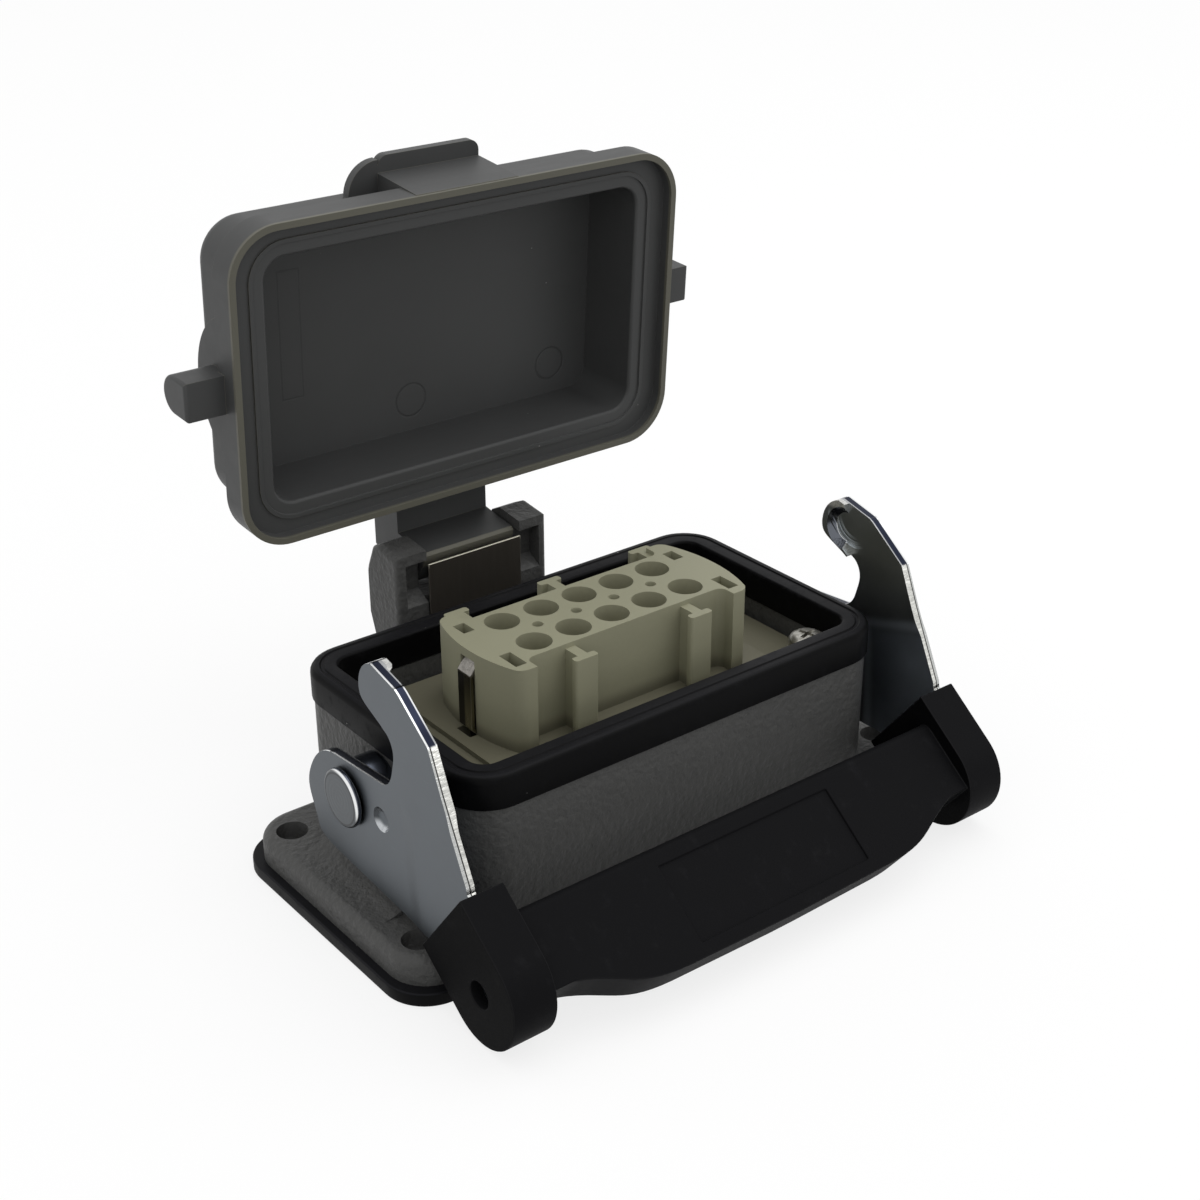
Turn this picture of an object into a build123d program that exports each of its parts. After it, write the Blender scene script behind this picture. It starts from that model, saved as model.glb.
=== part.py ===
from build123d import *
import os
from math import cos, radians, sin

os.makedirs("parts", exist_ok=True)

# Frame: millimetres, Z up, the long side along X, the lever handle towards minus Y.
# The origin is the centre of the four bolt holes on the mounting face.

# Fits shared by the pieces
free_gap = 0.3          # between pieces that move past each other
running_fit = 0.05      # radial, pin in its hole
small = 0.1             # overshoot of cutting bodies

# Bolt pattern of the mounting flange
bolt_pitch_x = 83.0
bolt_pitch_y = 32.0
bolt_hole = 4.5
bolt_x = bolt_pitch_x / 2
bolt_y = bolt_pitch_y / 2

# Housing
flange_top = 6.0
flange_x = bolt_x + 4.2
flange_y = bolt_y + 5.5
flange_corner = 6.0
flange_round = 1.4
wall_x = 36.0
wall_y = 21.3
wall_corner = 6.2
cavity_x = 32.6
cavity_y = 17.9
cavity_corner = 3.0
ramp_radius = 7.5
ramp_half = 10.3

# Flange gasket
gasket_thick = 2.0
gasket_x = flange_x + 1.3
gasket_y = flange_y + 1.4
gasket_corner = 6.5
gasket_open_x = cavity_x + 1.4
gasket_open_y = cavity_y + 0.7
gasket_open_corner = 4.0

# Rim seal, a rubber cap over the top of the wall
seal_x = wall_x + 0.25
seal_y = wall_y + 0.45
seal_corner = 6.5
seal_top = 29.2
seal_skirt = 24.4
seal_round = 0.9
seal_bevel = 0.3
rib_top = 27.2          # top of the thin wall inside the seal
rib_out = 1.0           # step from the wall in to the thin wall
rib_in = 1.0

# Insert, the contact block
insert_top = 34.9
plate_top = 22.4
plate_bottom = 20.0
plate_x = 32.0
plate_y = 17.0
plate_corner = 3.0
plate_step_x = 24.6     # the fixing plate is lower outside these lines
plate_step_y = 13.0
plate_step = 0.8
block_x = 21.75
block_bow = 25.0        # radius of the bowed end faces
block_end = 17.2
block_y = 9.7
block_mid_y = 7.05
block_round = 1.8
waist_round = 1.2
rib_stem = 1.6
rib_bar = 3.8
rib_bar_deep = 1.2
rib_round = 0.4
rib_below_top = 0.7
front_rib_reach = 10.9
front_ribs = (-9.8, 10.4)
rear_rib_reach = 11.6
rear_ribs = (-15.9, 0.2, 17.0)
key_hole = 1.6
pocket_deep = 4.0
pocket_x = (17.7, 19.5)
pocket_front_y = (4.2, 8.1)
pocket_rear_y = (3.9, 6.6)
contact_pitch = 6.66
contact_row = 3.7
contact_hole = 5.0
contact_outer = 4.2
contact_bore = 2.6
contact_top = 31.5
contact_bottom = 3.5
collar_outer = 5.6
collar_low = 16.5
wire_hole = 3.8
base_x = 20.1
base_y = 11.6
base_bottom = 1.2
terminal_z = 9.0
terminal_screw = 2.8
terminal_slot = 0.6
insert_screw_x = 28.5
insert_screw_y = 13.5
insert_screw = 3.0
insert_screw_head = 5.6
insert_screw_high = 2.4
boss_top = plate_bottom
boss_inner_x = 24.6
boss_inner_y = 12.4

# Earth springs and terminals at the ends of the insert
blade_wide = 3.2
blade_thick = 0.6
blade_face = 22.4
blade_back = base_x
blade_gap = 0.4
blade_top = 33.2
blade_low = plate_top - 0.4
earth_block_x = 20.7
earth_block_long = 8.0
earth_block_wide = 8.0
earth_block_low = 11.5
earth_screw = 3.4
earth_head = 5.6

# Lever pivot and plates
pivot_z = 19.6
pin_shank = 5.0
pin_head = 8.3
pin_head_high = 0.9
pin_collar = 9.2
pin_collar_long = 3.65
plate_thick = 1.4
plate_inner = wall_x + pin_collar_long + free_gap
plate_outer = plate_inner + plate_thick
rim_curl = 1.0          # how far the curled hook edge stands inwards
dimple_ball = 2.6
dimple_deep = 0.7
dish_mouth = 3.3        # radii of the dished hook
dish_floor = 2.2

# Handle, laid out along its own slope
handle_slope = 52.4
face_depth = 33.1       # distance of the knuckle face from the X axis
under_depth = 18.4
knuckle_cheek = 1.85    # moulding outside the plate
knuckle_web = 3.25      # moulding inside the plate
knuckle_out = plate_outer + knuckle_cheek
knuckle_in = plate_inner - knuckle_web
knuckle_start = 10.6
knuckle_end = 20.6
bar_face = 31.0
bar_back = 24.6
bar_start = 13.8
panel_half = 14.9
panel_from = 16.5
panel_to = 27.6
panel_deep = 0.35
eye_hole = 3.8

# Cover hinge
hinge_y = 34.28
hinge_z = 30.95
cover_open = 86.5       # degrees from closed to the pose of the photo
arm_half = 8.15
arm_front = 38.0
arm_rear = 44.6
arm_top = 45.0
ear_in = arm_half + free_gap + 0.05
ear_thick = 5.2
ear_out = ear_in + ear_thick
ear_front = 29.7
ear_rear = 38.0
ear_top = 34.6
ear_round = 1.0
window_out = 12.2
window_rear = 32.3
window_top = 33.0
sill_front = 26.0
sill_rear = 27.6
trunnion = 3.0
trunnion_end = 11.9
web_top = 26.4
spring_front = 29.3
spring_thick = 0.4
spring_top = 32.4
spring_low = 14.5

# Cover, given closed: mouth down
lip_x = seal_x + 1.25
lip_y = seal_y + 1.35
lip_wall = 0.95
lip_corner = 7.4
land_depth = 1.9
ridge_high = 0.3
ridge_wide = 0.6
ridge_from_cup = 1.9
mouth_z = seal_top + ridge_high - land_depth
land_round = 0.5
cover_high = 14.9
cover_floor = 13.3
body_x = 34.8
body_y = 20.8
body_corner = 6.0
skirt_high = 4.6
cover_round = 2.4
cup_x = 31.4
cup_y = 17.8
cup_corner = 3.2
peg_end = 43.4
peg_half = 2.8
peg_low = 3.0
peg_high = 9.4
peg_round = 0.5
pad_wide = 22.2
pad_middle = 0.85
pad_thick = 2.0
tab_half = 8.5
tab_reach = 3.0
tab_high = 11.6
tab_thick = 1.4
tab_corner = 1.6
shelf_rise = 0.6
web_round = 4.8


def both(values=(-1, 1)):
    return list(values)


def slab(half_x, half_y, corner, low, high):
    """A plate with rounded corners between two heights."""
    outline = RectangleRounded(2 * half_x, 2 * half_y, corner)
    return extrude(Plane.XY.offset(low) * outline, amount=high - low)


def rod_z(x, y, diameter, low, high):
    return Pos(x, y, (low + high) / 2) * Cylinder(diameter / 2, high - low)


def rod_x(y, z, diameter, start, end):
    length = abs(end - start)
    return Pos((start + end) / 2, y, z) * Rot(0, 90, 0) * Cylinder(diameter / 2, length)


def rod_y(x, z, diameter, start, end):
    length = abs(end - start)
    return Pos(x, (start + end) / 2, z) * Rot(90, 0, 0) * Cylinder(diameter / 2, length)


def block(x0, x1, y0, y1, z0, z1):
    size = Box(abs(x1 - x0), abs(y1 - y0), abs(z1 - z0))
    return Pos((x0 + x1) / 2, (y0 + y1) / 2, (z0 + z1) / 2) * size


def side_prism(points, start, end):
    """A prism along X from an outline of (y, z) points."""
    outline = make_face(Polyline(*points, close=True))
    return extrude(Plane.YZ.offset(start) * outline, amount=end - start)


def mirrored(shape):
    return shape.mirror(Plane.YZ)


# Housing

def bolt_holes(low, high, diameter):
    holes = []
    for sx in both():
        for sy in both():
            holes.append(rod_z(sx * bolt_x, sy * bolt_y, diameter, low, high))
    return holes


def end_ramp(sign):
    """The curved foot between flange and end wall, under the lever plate."""
    foot = wall_x + ramp_radius
    top = flange_top + ramp_radius
    edge = Polyline((wall_x - 1, flange_top - 1), (foot, flange_top - 1), (foot, flange_top))
    arc = RadiusArc((foot, flange_top), (wall_x, top), ramp_radius)
    back = Polyline((wall_x, top), (wall_x - 1, top), (wall_x - 1, flange_top - 1))
    face = make_face(edge + arc + back)
    ramp = extrude(Plane.XZ.offset(-ramp_half) * face, amount=2 * ramp_half)
    return ramp if sign > 0 else mirrored(ramp)


def hinge_ear():
    """The right hand ear that carries a trunnion of the cover."""
    outline = [
        (ear_front, ear_top),
        (34.8, 35.2),
        (36.9, 34.2),
        (ear_rear, 31.8),
        (ear_rear, 23.0),
        (36.4, 18.4),
        (30.0, 11.6),
        (wall_y - 0.5, 8.6),
        (wall_y - 0.5, 20.4),
        (25.0, 22.2),
        (ear_front, 22.2),
    ]
    ear = side_prism(outline, ear_in, ear_out)
    upper = ear.faces().sort_by(Axis.X)[-1].edges().sort_by(Axis.Z)[-4:]
    ear = fillet(upper, ear_round)
    opening = [
        (ear_front - small, sill_front),
        (window_rear, sill_rear),
        (window_rear, window_top),
        (ear_front - small, window_top),
    ]
    window = side_prism(opening, ear_in - small, window_out)
    bore = rod_x(hinge_y, hinge_z, trunnion + 2 * running_fit, ear_in - small, window_out)
    return ear - window - bore


def hinge_bridge():
    """The web between the ears, with the slot that holds the leaf spring."""
    outline = [
        (wall_y - 0.5, 8.6),
        (30.0, 11.6),
        (35.0, 16.6),
        (36.4, 21.0),
        (36.4, web_top),
        (31.4, web_top),
        (30.6, 21.8),
        (25.0, 21.8),
        (wall_y - 0.5, 20.4),
    ]
    web = side_prism(outline, -ear_in, ear_in)
    slot = block(-ear_in, ear_in, spring_front, spring_front + spring_thick, spring_low, 23)
    return web - slot


def housing():
    body = slab(flange_x, flange_y, flange_corner, gasket_thick, flange_top)
    body = fillet(body.faces().sort_by(Axis.Z)[-1].edges(), flange_round)
    body += slab(wall_x, wall_y, wall_corner, gasket_thick, seal_skirt)
    thin_x = wall_x - rib_out
    thin_y = wall_y - rib_out
    body += slab(thin_x, thin_y, wall_corner - rib_out, seal_skirt - 1, rib_top)
    for sign in both():
        body += end_ramp(sign)
    body -= slab(cavity_x, cavity_y, cavity_corner, gasket_thick - small, seal_skirt)
    open_x = cavity_x + rib_in
    open_y = cavity_y + rib_in
    body -= slab(open_x, open_y, cavity_corner + rib_in, seal_skirt - small, rib_top + small)
    for sx in both():
        for sy in both():
            post = block(sx * boss_inner_x, sx * (cavity_x + 0.5),
                         sy * boss_inner_y, sy * (cavity_y + 0.5), gasket_thick, boss_top)
            post -= rod_z(sx * insert_screw_x, sy * insert_screw_y, insert_screw,
                          boss_top - 10, boss_top + small)
            body += post
    body += hinge_bridge()
    ear = hinge_ear()
    body += ear
    body += mirrored(ear)
    for sign in both():
        body -= rod_x(0, pivot_z, pin_shank, sign * (cavity_x + 0.6), sign * (wall_x + small))
    for hole in bolt_holes(gasket_thick - small, flange_top + small, bolt_hole):
        body -= hole
    return body


def flange_gasket():
    sheet = slab(gasket_x, gasket_y, gasket_corner, 0, gasket_thick)
    sheet -= slab(gasket_open_x, gasket_open_y, gasket_open_corner, -small, gasket_thick + small)
    for hole in bolt_holes(-small, gasket_thick + small, bolt_hole):
        sheet -= hole
    return sheet


def rim_seal():
    cap = slab(seal_x, seal_y, seal_corner, seal_skirt, seal_top)
    cap = fillet(cap.faces().sort_by(Axis.Z)[-1].edges(), seal_round)
    cap -= slab(cavity_x - 0.3, cavity_y - 0.3, cavity_corner, seal_skirt - 1, seal_top + small)
    inner = cap.faces().sort_by(Axis.Z)[-1].inner_wires()[0].edges()
    cap = chamfer(inner, seal_bevel)
    thin = slab(wall_x - rib_out, wall_y - rib_out, wall_corner - rib_out,
                seal_skirt - 1, rib_top)
    thin -= slab(cavity_x + rib_in, cavity_y + rib_in, cavity_corner + rib_in,
                 seal_skirt - 2, rib_top + small)
    return cap - thin


def pivot_pin():
    """Right hand lever pin: collar on the wall, shank through the plate, flat head."""
    collar = rod_x(0, pivot_z, pin_collar, wall_x, wall_x + pin_collar_long)
    shank = rod_x(0, pivot_z, pin_shank, cavity_x + 0.6, plate_outer + free_gap)
    head_from = plate_outer + free_gap
    head = rod_x(0, pivot_z, pin_head, head_from, head_from + pin_head_high)
    head = chamfer(head.edges().filter_by(GeomType.CIRCLE).sort_by(Axis.X)[-1], 0.3)
    return collar + shank + head


def hinge_spring():
    """Leaf spring that holds the cover open or closed, standing in its slot."""
    leaf = block(-ear_in + small, ear_in - small, spring_front,
                 spring_front + spring_thick, spring_low, spring_top)
    return leaf


# Insert

def contact_places():
    places = []
    for row in (1, -1):
        for column in range(5):
            places.append(((column - 2) * contact_pitch, row * contact_row))
    return places


def insert_outline(low, high):
    """The block: a narrow middle and two wide ends with bowed faces."""
    ends = Rectangle(2 * block_x, 2 * block_y)
    for sign in both():
        ends &= Pos(sign * (block_x - block_bow), 0) * Circle(block_bow)
    ends = fillet(ends.vertices(), block_round)
    shape = extrude(Plane.XY.offset(low) * ends, amount=high - low)
    length = 2 * block_end
    for side in both():
        waist = Pos(0, side * block_y) * RectangleRounded(
            length, 2 * (block_y - block_mid_y), waist_round)
        shape -= extrude(Plane.XY.offset(low) * waist, amount=high - low)
    return shape


def insert_rib(x, side, reach):
    """One polarising rib: a stem and a rounded cross bar, slightly below the top."""
    low = plate_bottom + 1
    high = insert_top - rib_below_top
    inner = reach - rib_bar_deep
    stem = block(x - rib_stem / 2, x + rib_stem / 2, side * (block_mid_y - small),
                 side * (inner + small), low, high)
    middle = side * (inner + rib_bar_deep / 2)
    bar = Pos(x, middle) * RectangleRounded(rib_bar, rib_bar_deep, rib_round)
    return stem + extrude(Plane.XY.offset(low) * bar, amount=high - low)


def insert_body():
    body = insert_outline(plate_bottom, insert_top)
    step = plate_top - plate_step
    body += slab(plate_x, plate_y, plate_corner, plate_bottom, step)
    body += block(-plate_step_x, plate_step_x, -plate_step_y, plate_step_y,
                  plate_bottom, plate_top)
    for x in front_ribs:
        body += insert_rib(x, -1, front_rib_reach)
    for x in rear_ribs:
        body += insert_rib(x, 1, rear_rib_reach)
    for x, y in contact_places():
        body -= rod_z(x, y, contact_hole, plate_bottom - small, insert_top + small)
    for column in (-1.5, -0.5, 0.5, 1.5):
        body -= rod_z(column * contact_pitch, 0, key_hole, insert_top - 3, insert_top + small)
    for sx in both():
        for side, span in ((-1, pocket_front_y), (1, pocket_rear_y)):
            body -= block(sx * pocket_x[0], sx * pocket_x[1], side * span[0], side * span[1],
                          insert_top - pocket_deep, insert_top + small)
        for sy in both():
            body -= rod_z(sx * insert_screw_x, sy * insert_screw_y, insert_screw + 0.4,
                          plate_bottom - small, plate_top)
        body -= block(sx * blade_back, sx * (blade_face + blade_gap), -blade_wide / 2,
                      blade_wide / 2, plate_bottom - small, blade_top + blade_gap)
    return body


def insert_base():
    """The terminal side below the fixing plate."""
    base = slab(base_x, base_y, 1.5, base_bottom, plate_bottom)
    for x, y in contact_places():
        side = 1 if y > 0 else -1
        base -= rod_z(x, y, collar_outer, collar_low, plate_bottom + small)
        base -= rod_z(x, y, contact_outer, contact_bottom, collar_low + small)
        base -= rod_z(x, y, wire_hole, base_bottom - small, contact_bottom + small)
        base -= rod_y(x, terminal_z, terminal_screw + 0.2,
                      side * (contact_row + 1.6), side * (base_y + small))
    return base


def socket_contact(x, y):
    """A turned socket: mating bore above, collar in the base, wire bore below."""
    shape = rod_z(x, y, contact_outer, contact_bottom, contact_top)
    shape += rod_z(x, y, collar_outer, collar_low, plate_bottom)
    shape -= rod_z(x, y, contact_bore, 20.5, contact_top + small)
    shape -= rod_z(x, y, 2.8, contact_bottom - small, 13.0)
    return shape


def terminal_screws():
    screws = []
    for x, y in contact_places():
        side = 1 if y > 0 else -1
        tip = side * (contact_row + contact_outer / 2)
        end = side * (base_y - 0.6)
        screw = rod_y(x, terminal_z, terminal_screw, tip, end)
        screw -= block(x - terminal_slot / 2, x + terminal_slot / 2, end - side * 0.8,
                       end + side * small, terminal_z - 2, terminal_z + 2)
        screws.append(screw)
    return Compound(children=screws)


def insert_screws():
    screws = []
    for sx in both():
        for sy in both():
            x = sx * insert_screw_x
            y = sy * insert_screw_y
            seat = plate_top - plate_step
            top = seat + insert_screw_high
            screw = rod_z(x, y, insert_screw, boss_top - 8, seat)
            head = rod_z(x, y, insert_screw_head, seat, top)
            head = fillet(head.edges().filter_by(GeomType.CIRCLE).sort_by(Axis.Z)[-1], 0.9)
            head -= block(x - 1.6, x + 1.6, y - 0.4, y + 0.4, top - 1.2, top + small)
            head -= block(x - 0.4, x + 0.4, y - 1.6, y + 1.6, top - 1.2, top + small)
            screws.append(screw + head)
    return Compound(children=screws)


def earth_spring():
    """Right hand blade that bows out of its recess in the end face."""
    back = blade_back
    face = blade_face
    low = blade_low
    points = [
        (back, blade_top),
        (back + 1.0, blade_top),
        (face, blade_top - 1.6),
        (face, low + 1.2),
        (earth_block_x, low - 0.5),
        (earth_block_x, 15.0),
        (base_x, 15.0),
        (base_x, low - 0.2),
        (face - blade_thick, low + 1.4),
        (face - blade_thick, blade_top - 1.9),
        (back, blade_top - 0.6),
    ]
    outline = make_face(Polyline(*points, close=True))
    half = blade_wide / 2 - 0.1
    return extrude(Plane.XZ.offset(-half) * outline, amount=2 * half)


def earth_terminal():
    """Right hand clamp block for the earth wire, under the fixing plate."""
    x0 = earth_block_x
    x1 = x0 + earth_block_long
    half = earth_block_wide / 2
    shape = block(x0, x1, -half, half, earth_block_low, plate_bottom)
    middle = (x0 + x1) / 2
    shape -= rod_y(middle, 16.2, 3.6, -half - small, half + small)
    shape -= rod_z(middle, 0, earth_screw, earth_block_low - small, 16.2)
    return shape


def earth_screws():
    screws = []
    for sign in both():
        x = sign * (earth_block_x + earth_block_long / 2)
        low = earth_block_low - 2.2
        screw = rod_z(x, 0, earth_screw, earth_block_low, 14.4)
        head = rod_z(x, 0, earth_head, low, earth_block_low)
        head -= block(x - 3, x + 3, -0.4, 0.4, low - small, low + 1.0)
        screws.append(screw + head)
    return Compound(children=screws)


# Lever

def hook_edge():
    """Round outline of the hook, from its top round to the throat, as (y, z) points."""
    return Spline(
        (-8.0, 42.7), (-6.1, 41.6), (-4.9, 39.0), (-5.2, 37.1), (-6.6, 36.1), (-8.4, 35.3),
        (-10.2, 34.4),
    )


def lever_face():
    """Side outline of a lever plate in the open pose, as (y, z) points."""
    throat = Spline((-10.2, 34.4), (-11.6, 33.4), (-12.2, 31.8), (-11.8, 29.4), (-11.2, 27.6),
                    (-9.2, 25.9))
    flank = Polyline((-9.2, 25.9), (-3.8, 25.4), (3.0, 24.8))
    lobe = Spline(
        (3.0, 24.8), (6.5, 23.3), (9.2, 19.9), (10.1, 16.6), (8.6, 12.4), (3.6, 9.4),
        tangents=[(1, -0.15), (-1, -0.1)],
    )
    rear = Polyline((3.6, 9.4), (-19.0, 7.6))
    heel = Polyline((-19.0, 7.6), (-23.5, 5.4), (-27.0, 3.6), (-32.0, 3.2), (-36.0, 6.4),
                    (-36.4, 10.0), (-33.5, 14.5))
    front = Polyline((-33.5, 14.5), (-27.8, 19.4), (-27.6, 20.4), (-22.7, 30.6),
                     (-20.2, 36.4), (-14.1, 41.0), (-13.4, 41.4), (-8.0, 42.7))
    return make_face(hook_edge() + throat + flank + lobe + rear + heel + front)


def hook_dish():
    """The rim of the hook and the hollow inside it, standing in from the plate."""
    edge = Polyline((-10.2, 34.4), (-13.9, 37.2), (-14.1, 41.0), (-13.4, 41.4), (-8.0, 42.7))
    base = Plane.YZ.offset(plate_inner - rim_curl)
    pad = extrude(base * make_face(hook_edge() + edge), amount=rim_curl + small)
    middle = Plane.YZ.offset(plate_inner - rim_curl / 2)
    hollow = middle * Pos(-9.2, 38.6) * Cone(dish_mouth, dish_floor, rim_curl)
    way_out = [(-9.2, 35.4), (-9.2, 43.0), (-15.0, 43.0), (-15.0, 36.0), (-11.5, 34.0)]
    hollow += side_prism(way_out, plate_inner - rim_curl - small, plate_inner)
    return pad - hollow


def lever_plate():
    """Right hand lever plate with its curled hook and a centre punched dimple."""
    face = Plane.YZ.offset(plate_inner) * lever_face()
    plate = extrude(face, amount=plate_thick) + hook_dish()
    plate -= rod_x(0, pivot_z, pin_shank + 2 * running_fit, plate_inner - small,
                   plate_outer + small)
    dimple = Pos(plate_outer + dimple_ball - dimple_deep, -8.3, 20.2) * Sphere(dimple_ball)
    return plate - dimple


def handle_point(along, depth):
    a = radians(handle_slope)
    return (-depth * cos(a) - along * sin(a), depth * sin(a) - along * cos(a))


def handle_plane(along, depth):
    a = radians(handle_slope)
    y, z = handle_point(along, depth)
    return Plane(origin=(0, y, z), x_dir=(1, 0, 0), z_dir=(0, -cos(a), sin(a)))


def knuckle():
    """Right hand knuckle, moulded around the end of the lever plate."""
    radius = (face_depth - under_depth) / 2
    middle = (face_depth + under_depth) / 2
    width = knuckle_out - knuckle_in
    frame = handle_plane(knuckle_end, middle)
    side = Plane(origin=(knuckle_in, frame.origin.Y, frame.origin.Z),
                 x_dir=(0, frame.y_dir.Y, frame.y_dir.Z), z_dir=(1, 0, 0))
    reach = knuckle_end - knuckle_start
    body = Pos(reach / 2, 0) * Rectangle(reach, 2 * radius) + Circle(radius)
    shape = extrude(side * body, amount=width)
    y, z = handle_point(knuckle_end, middle)
    shape -= rod_x(y, z, eye_hole, plate_outer, knuckle_out + small)
    return shape


def handle_bar():
    """The cross bar with its bowed lower edge and the bare recessed panel."""
    def spot(x, along):
        return (x, bar_start - along)
    lower = [(36.9, 24.9), (33.6, 24.9), (29.4, 26.4), (24.6, 28.5), (15.0, 29.5), (0.0, 29.7)]
    right = [spot(x, u) for x, u in lower]
    left = [spot(-x, u) for x, u in reversed(lower[:-1])]
    edge = Polyline(spot(36.9, bar_start), *right[:2])
    bow = Spline(*right[1:], *left[:-1])
    close = Polyline(left[-2], left[-1], spot(-36.9, bar_start), spot(36.9, bar_start))
    outline = make_face(edge + bow + close)
    base = handle_plane(bar_start, bar_back)
    bar = extrude(base * outline, amount=bar_face - bar_back)
    long_edges = bar.edges().filter_by(Axis.X).sort_by(Axis.Z)
    bar = fillet(long_edges[-2:], 1.2)
    panel = Pos(0, (bar_start - (panel_from + panel_to) / 2)) * Rectangle(
        2 * panel_half, panel_to - panel_from)
    face = handle_plane(bar_start, bar_face - panel_deep)
    bar -= extrude(face * panel, amount=1)
    return bar


def lever_handle(right_plate):
    handle = handle_bar()
    side = knuckle()
    handle += side
    handle += mirrored(side)
    handle -= right_plate
    handle -= mirrored(right_plate)
    return handle


# Cover

def closed_slab(half_x, half_y, corner, low, high):
    """A plate given in the closed pose, measured up from the mouth."""
    return slab(half_x, half_y, corner, mouth_z + low, mouth_z + high)


def cover_shell():
    shell = closed_slab(lip_x, lip_y, lip_corner, 0, skirt_high)
    body = closed_slab(body_x, body_y, body_corner, skirt_high - 0.5, cover_high)
    body = fillet(body.faces().sort_by(Axis.Z)[-1].edges(), cover_round)
    shell += body
    for sign in both():
        pad = rod_x(0, mouth_z + pad_middle, pad_wide, sign * (body_x - 1),
                    sign * (body_x + pad_thick))
        shell += pad & closed_slab(peg_end, pad_wide, 1.0, skirt_high - 0.5, cover_high)
        shell += peg(sign)
    shell += tab()
    shell -= closed_slab(lip_x - lip_wall, lip_y - lip_wall, lip_corner - lip_wall,
                         -small, land_depth)
    inner = ridge_from_cup
    outer = ridge_from_cup + ridge_wide
    ridge = closed_slab(cup_x + outer, cup_y + outer, cup_corner + outer,
                        land_depth - ridge_high, land_depth + small)
    ridge -= closed_slab(cup_x + inner, cup_y + inner, cup_corner + inner, 0, land_depth + 1)
    shell += ridge
    shell -= closed_slab(cup_x, cup_y, cup_corner, -small, cover_floor)
    land_z = mouth_z + land_depth
    land = shell.faces().filter_by_position(Axis.Z, land_z - 0.01, land_z + 0.01)
    cup_edge = land.sort_by(SortBy.AREA)[0].inner_wires()[0].edges()
    return fillet(cup_edge, land_round)


def peg(sign):
    """End peg that the lever hook catches: flat below, round on top."""
    round_z = mouth_z + peg_high - peg_half
    shape = block(sign * (body_x - 1), sign * peg_end, -peg_half, peg_half,
                  mouth_z + peg_low, round_z)
    shape += rod_x(0, round_z, 2 * peg_half, sign * (body_x - 1), sign * peg_end)
    end = shape.faces().sort_by(Axis.X)[-1 if sign > 0 else 0]
    return fillet(end.edges(), peg_round)


def tab():
    """Finger tab on the front: a sloping shelf, a raised lip and a round web on its left."""
    front = -lip_y
    low = mouth_z + tab_high - tab_thick
    high = mouth_z + tab_high
    shelf = side_prism([
        (-body_y + 1, mouth_z + lip_wall / 2),
        (front - small, mouth_z + lip_wall / 2),
        (front - shelf_rise, low),
        (front - shelf_rise, high),
        (-body_y + 1, high),
    ], -tab_half, tab_half)
    lip = block(-tab_half, tab_half, front - tab_reach, front + 0.5, low, high)
    corners = lip.edges().filter_by(Axis.Z).sort_by(Axis.Y)[:2]
    web = Pos(-tab_half, -body_y) * Circle(web_round)
    web &= Pos(-tab_half - web_round / 2, -body_y - web_round / 2 + 0.5) * Rectangle(
        web_round + small, web_round + 1)
    return shelf + fillet(corners, tab_corner) + extrude(Plane.XY.offset(low) * web,
                                                         amount=tab_thick)


def hinge_arm():
    """Arm and trunnions in the open pose of the photo."""
    outline = [
        (arm_front, arm_top),
        (arm_front, 34.4),
        (31.2, 33.45),
        (30.8, 33.0),
        (30.9, 32.0),
        (33.0, 28.4),
        (35.5, 26.9),
        (39.0, 27.2),
        (arm_rear, 30.4),
        (arm_rear, arm_top),
    ]
    arm = side_prism(outline, -arm_half, arm_half)
    arm += rod_x(hinge_y, hinge_z, trunnion, -trunnion_end, trunnion_end)
    return arm


def cover():
    """The whole moulding, swung open about the hinge line."""
    hinge = Axis((0, hinge_y, hinge_z), (1, 0, 0))
    shell = cover_shell().rotate(hinge, -cover_open)
    arm = hinge_arm()
    inside = closed_slab(cup_x, cup_y, cup_corner, -5, cover_floor)
    arm -= inside.rotate(hinge, -cover_open)
    return shell + arm


def main():
    plate = lever_plate()
    pin = pivot_pin()
    blade = earth_spring()
    clamp = earth_terminal()
    nodes = {
        "housing": housing(),
        "flange_gasket": flange_gasket(),
        "rim_seal": rim_seal(),
        "pivot_pin_right": pin,
        "pivot_pin_left": mirrored(pin),
        "hinge_spring": hinge_spring(),
        "insert_body": insert_body(),
        "insert_base": insert_base(),
        "terminal_screws": terminal_screws(),
        "insert_screws": insert_screws(),
        "earth_spring_right": blade,
        "earth_spring_left": mirrored(blade),
        "earth_terminal_right": clamp,
        "earth_terminal_left": mirrored(clamp),
        "earth_screws": earth_screws(),
        "lever_plate_right": plate,
        "lever_plate_left": mirrored(plate),
        "lever_handle": lever_handle(plate),
        "cover": cover(),
    }
    for number, (x, y) in enumerate(contact_places(), start=1):
        nodes[f"socket_contact_{number:02d}"] = socket_contact(x, y)
    for name, shape in nodes.items():
        export_step(shape, f"parts/{name}.step")
        box = shape.bounding_box()
        print(name, len(shape.solids()), "solid", round(shape.volume, 1), box.min, box.max)


main()
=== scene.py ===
import math
import bmesh
import bpy
from bpy.props import FloatProperty, FloatVectorProperty, PointerProperty
from mathutils import Matrix, Vector


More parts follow.
